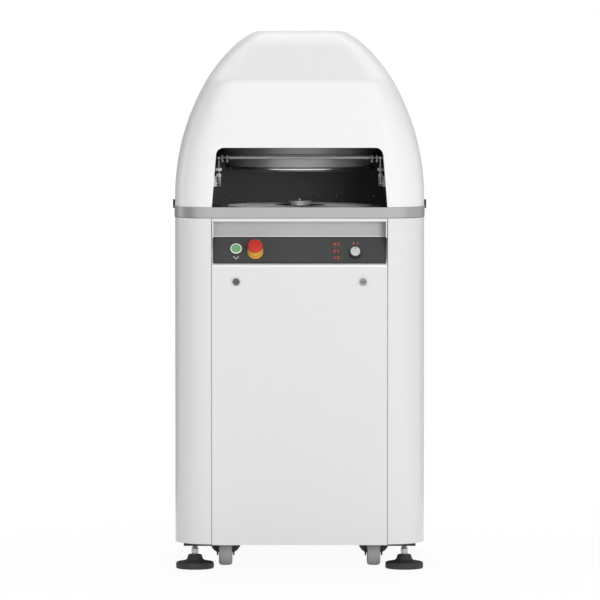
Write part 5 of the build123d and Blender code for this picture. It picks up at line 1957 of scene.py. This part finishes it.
@dataclass
class Studio:
    """Camera, light, floor and the pale surround."""

    eye: tuple[float, float, float] = (0.00107, -15.54, 1.639)
    pitch: float = 3.43
    focal_pixels: float = 5690.0
    frame_pixels: float = 600.0
    sensor: float = 36.0
    clip_end: float = 200.0
    surround: float = 0.48
    floor_size: float = 120.0
    floor_grey: float = 0.80
    floor_shadow: float = 0.05
    fade_from: float = 0.4
    fade_to: float = 1.8
    light_distance: float = 10.0
    light_size: float = 3.0
    target: tuple[float, float, float] = (0.0, 0.0, 0.75)
    softboxes: tuple[tuple[str, float, float, float], ...] = (
        ("key_light", 17.0, 4.5, 0.43),
        ("fill_light", -60.0, 20.0, 0.03),
        ("top_light", 180.0, 62.0, 0.63),
    )
    cards: tuple[tuple[str, Point, Vector, Point, float], ...] = (
        ("front_left_card", (-2.4, -4.2, 1.2), X_AXIS - Y_AXIS, (3.0, 2.6), 0.65),
        ("left_card", (-3.2, -1.2, 1.2), X_AXIS, (3.0, 3.4), 0.38),
        ("right_card", (3.2, -0.6, 1.2), -X_AXIS, (3.0, 2.2), 0.68),
        ("left_back_card", (-1.65, 1.3, 1.4), -Y_AXIS, (2.4, 2.8), 0.30),
        ("right_back_card", (1.65, 1.3, 1.4), -Y_AXIS, (2.4, 2.8), 0.45),
        ("top_back_card", (0.0, 1.3, 2.15), -Y_AXIS, (0.9, 1.4), 0.55),
        ("ceiling_card", (0.0, -2.15, 6.0), -Z_AXIS, (6.0, 2.7), 0.25),
    )

    def build(self) -> None:
        """Set up the studio."""
        bpy.context.scene.view_settings.view_transform = "Standard"
        self._camera()
        self._world()
        self._floor()
        for softbox in self.softboxes:
            self._softbox(*softbox)
        for card in self.cards:
            self._card(*card)

    def _camera(self) -> None:
        """A long lens square to the front, a little above the table."""
        data = bpy.data.cameras.new("camera")
        data.sensor_width = self.sensor
        data.lens = self.sensor * self.focal_pixels / self.frame_pixels
        data.clip_end = self.clip_end
        camera = bpy.data.objects.new("camera", data)
        camera.location = self.eye
        camera.rotation_euler = (math.radians(90.0 - self.pitch), 0.0, 0.0)
        bpy.context.scene.collection.objects.link(camera)
        bpy.context.scene.camera = camera

    def _seen(self, canvas: Canvas) -> Wire:
        """Tell the rays from the camera, a mirror or glass.

        Args:
            canvas: The canvas that asks.

        Returns:
            One for such a ray, else nought.
        """
        rays = (f"Is {kind} Ray" for kind in ("Camera", "Glossy", "Transmission"))
        eye, mirror, glass = (canvas.node("ShaderNodeLightPath", output=ray) for ray in rays)
        return (eye + mirror + glass).at_most(1.0)

    def _world(self) -> None:
        """White to the eye, and a soft fill on the object."""
        world = bpy.data.worlds.new("surround")
        bpy.context.scene.world = world
        world.use_nodes = True
        canvas = Canvas(world.node_tree)
        strength = self._seen(canvas) * (1.0 - self.surround) + self.surround
        light = canvas.node("ShaderNodeBackground", inputs={"Color": WHITE, "Strength": strength})
        canvas.node("ShaderNodeOutputWorld", inputs={"Surface": light})

    def _floor(self) -> None:
        """A pale floor that keeps a faint shadow near the object and fades into the surround."""
        floor = Shape().sheet(self.floor_size, self.floor_size).mesh("floor")
        material, canvas = new_material("floor")
        matt = canvas.node("ShaderNodeBsdfDiffuse", inputs={"Color": grey(self.floor_grey)})
        away = canvas.node("ShaderNodeVectorMath", {"operation": "LENGTH"}, {0: canvas.place()}, "Value")
        near = canvas.step(away * 0.5, self.fade_from / 2, self.fade_to / 2)
        fade = near * self.floor_shadow + (1 - self.floor_shadow)
        inputs = {0: self._seen(canvas) * fade, 1: matt, 2: canvas.glow(WHITE)}
        canvas.show(canvas.node("ShaderNodeMixShader", inputs=inputs))
        floor.data.materials.append(material)
        floor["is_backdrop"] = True

    def _softbox(self, name: str, azimuth: float, elevation: float, level: float) -> None:
        """A large square light turned to the object.

        Args:
            name: Its name.
            azimuth: Degrees to the right of the front.
            elevation: Degrees above the floor.
            level: Brightness that it gives to a white surface facing it.
        """
        turn, rise = math.radians(azimuth), math.radians(elevation)
        out = Vector((math.sin(turn) * math.cos(rise), -math.cos(turn) * math.cos(rise), math.sin(rise)))
        data = bpy.data.lights.new(name, "AREA")
        data.size = self.light_size
        data.energy = level * math.pi**2 * self.light_distance**2
        lamp = bpy.data.objects.new(name, data)
        lamp.location = Vector(self.target) + out * self.light_distance
        lamp.rotation_euler = out.to_track_quat("Z", "Y").to_euler()
        lamp.visible_camera = False
        lamp.visible_glossy = False
        bpy.context.scene.collection.objects.link(lamp)

    def _card(self, name: str, place: Point, out: Vector, size: Point, level: float) -> None:
        """A grey card that only reflections see.

        Args:
            name: Its name.
            place: Its middle.
            out: The way it faces.
            size: Its two sides.
            level: Its tone.
        """
        turn = out.to_track_quat("Z", "Y").to_matrix().to_4x4()
        card = Shape().sheet(*size).move(Matrix.Translation(place) @ turn).mesh(name)
        material, canvas = new_material(name)
        canvas.show(canvas.glow(grey(level)))
        card.data.materials.append(material)
        card.visible_camera = False
        card.visible_diffuse = False
        card.visible_shadow = False
        card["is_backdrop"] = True


def main() -> None:
    """Build the looks in order."""
    logging.basicConfig(level=logging.INFO, format="%(name)s: %(message)s")
    bench = Bench()
    for assembly in (Hood, Cabinet, ControlStrip, Chamber, PressHead, Drive, Undercarriage):
        assembly(bench).build()
    Studio().build()


if __name__ == "__main__":
    main()
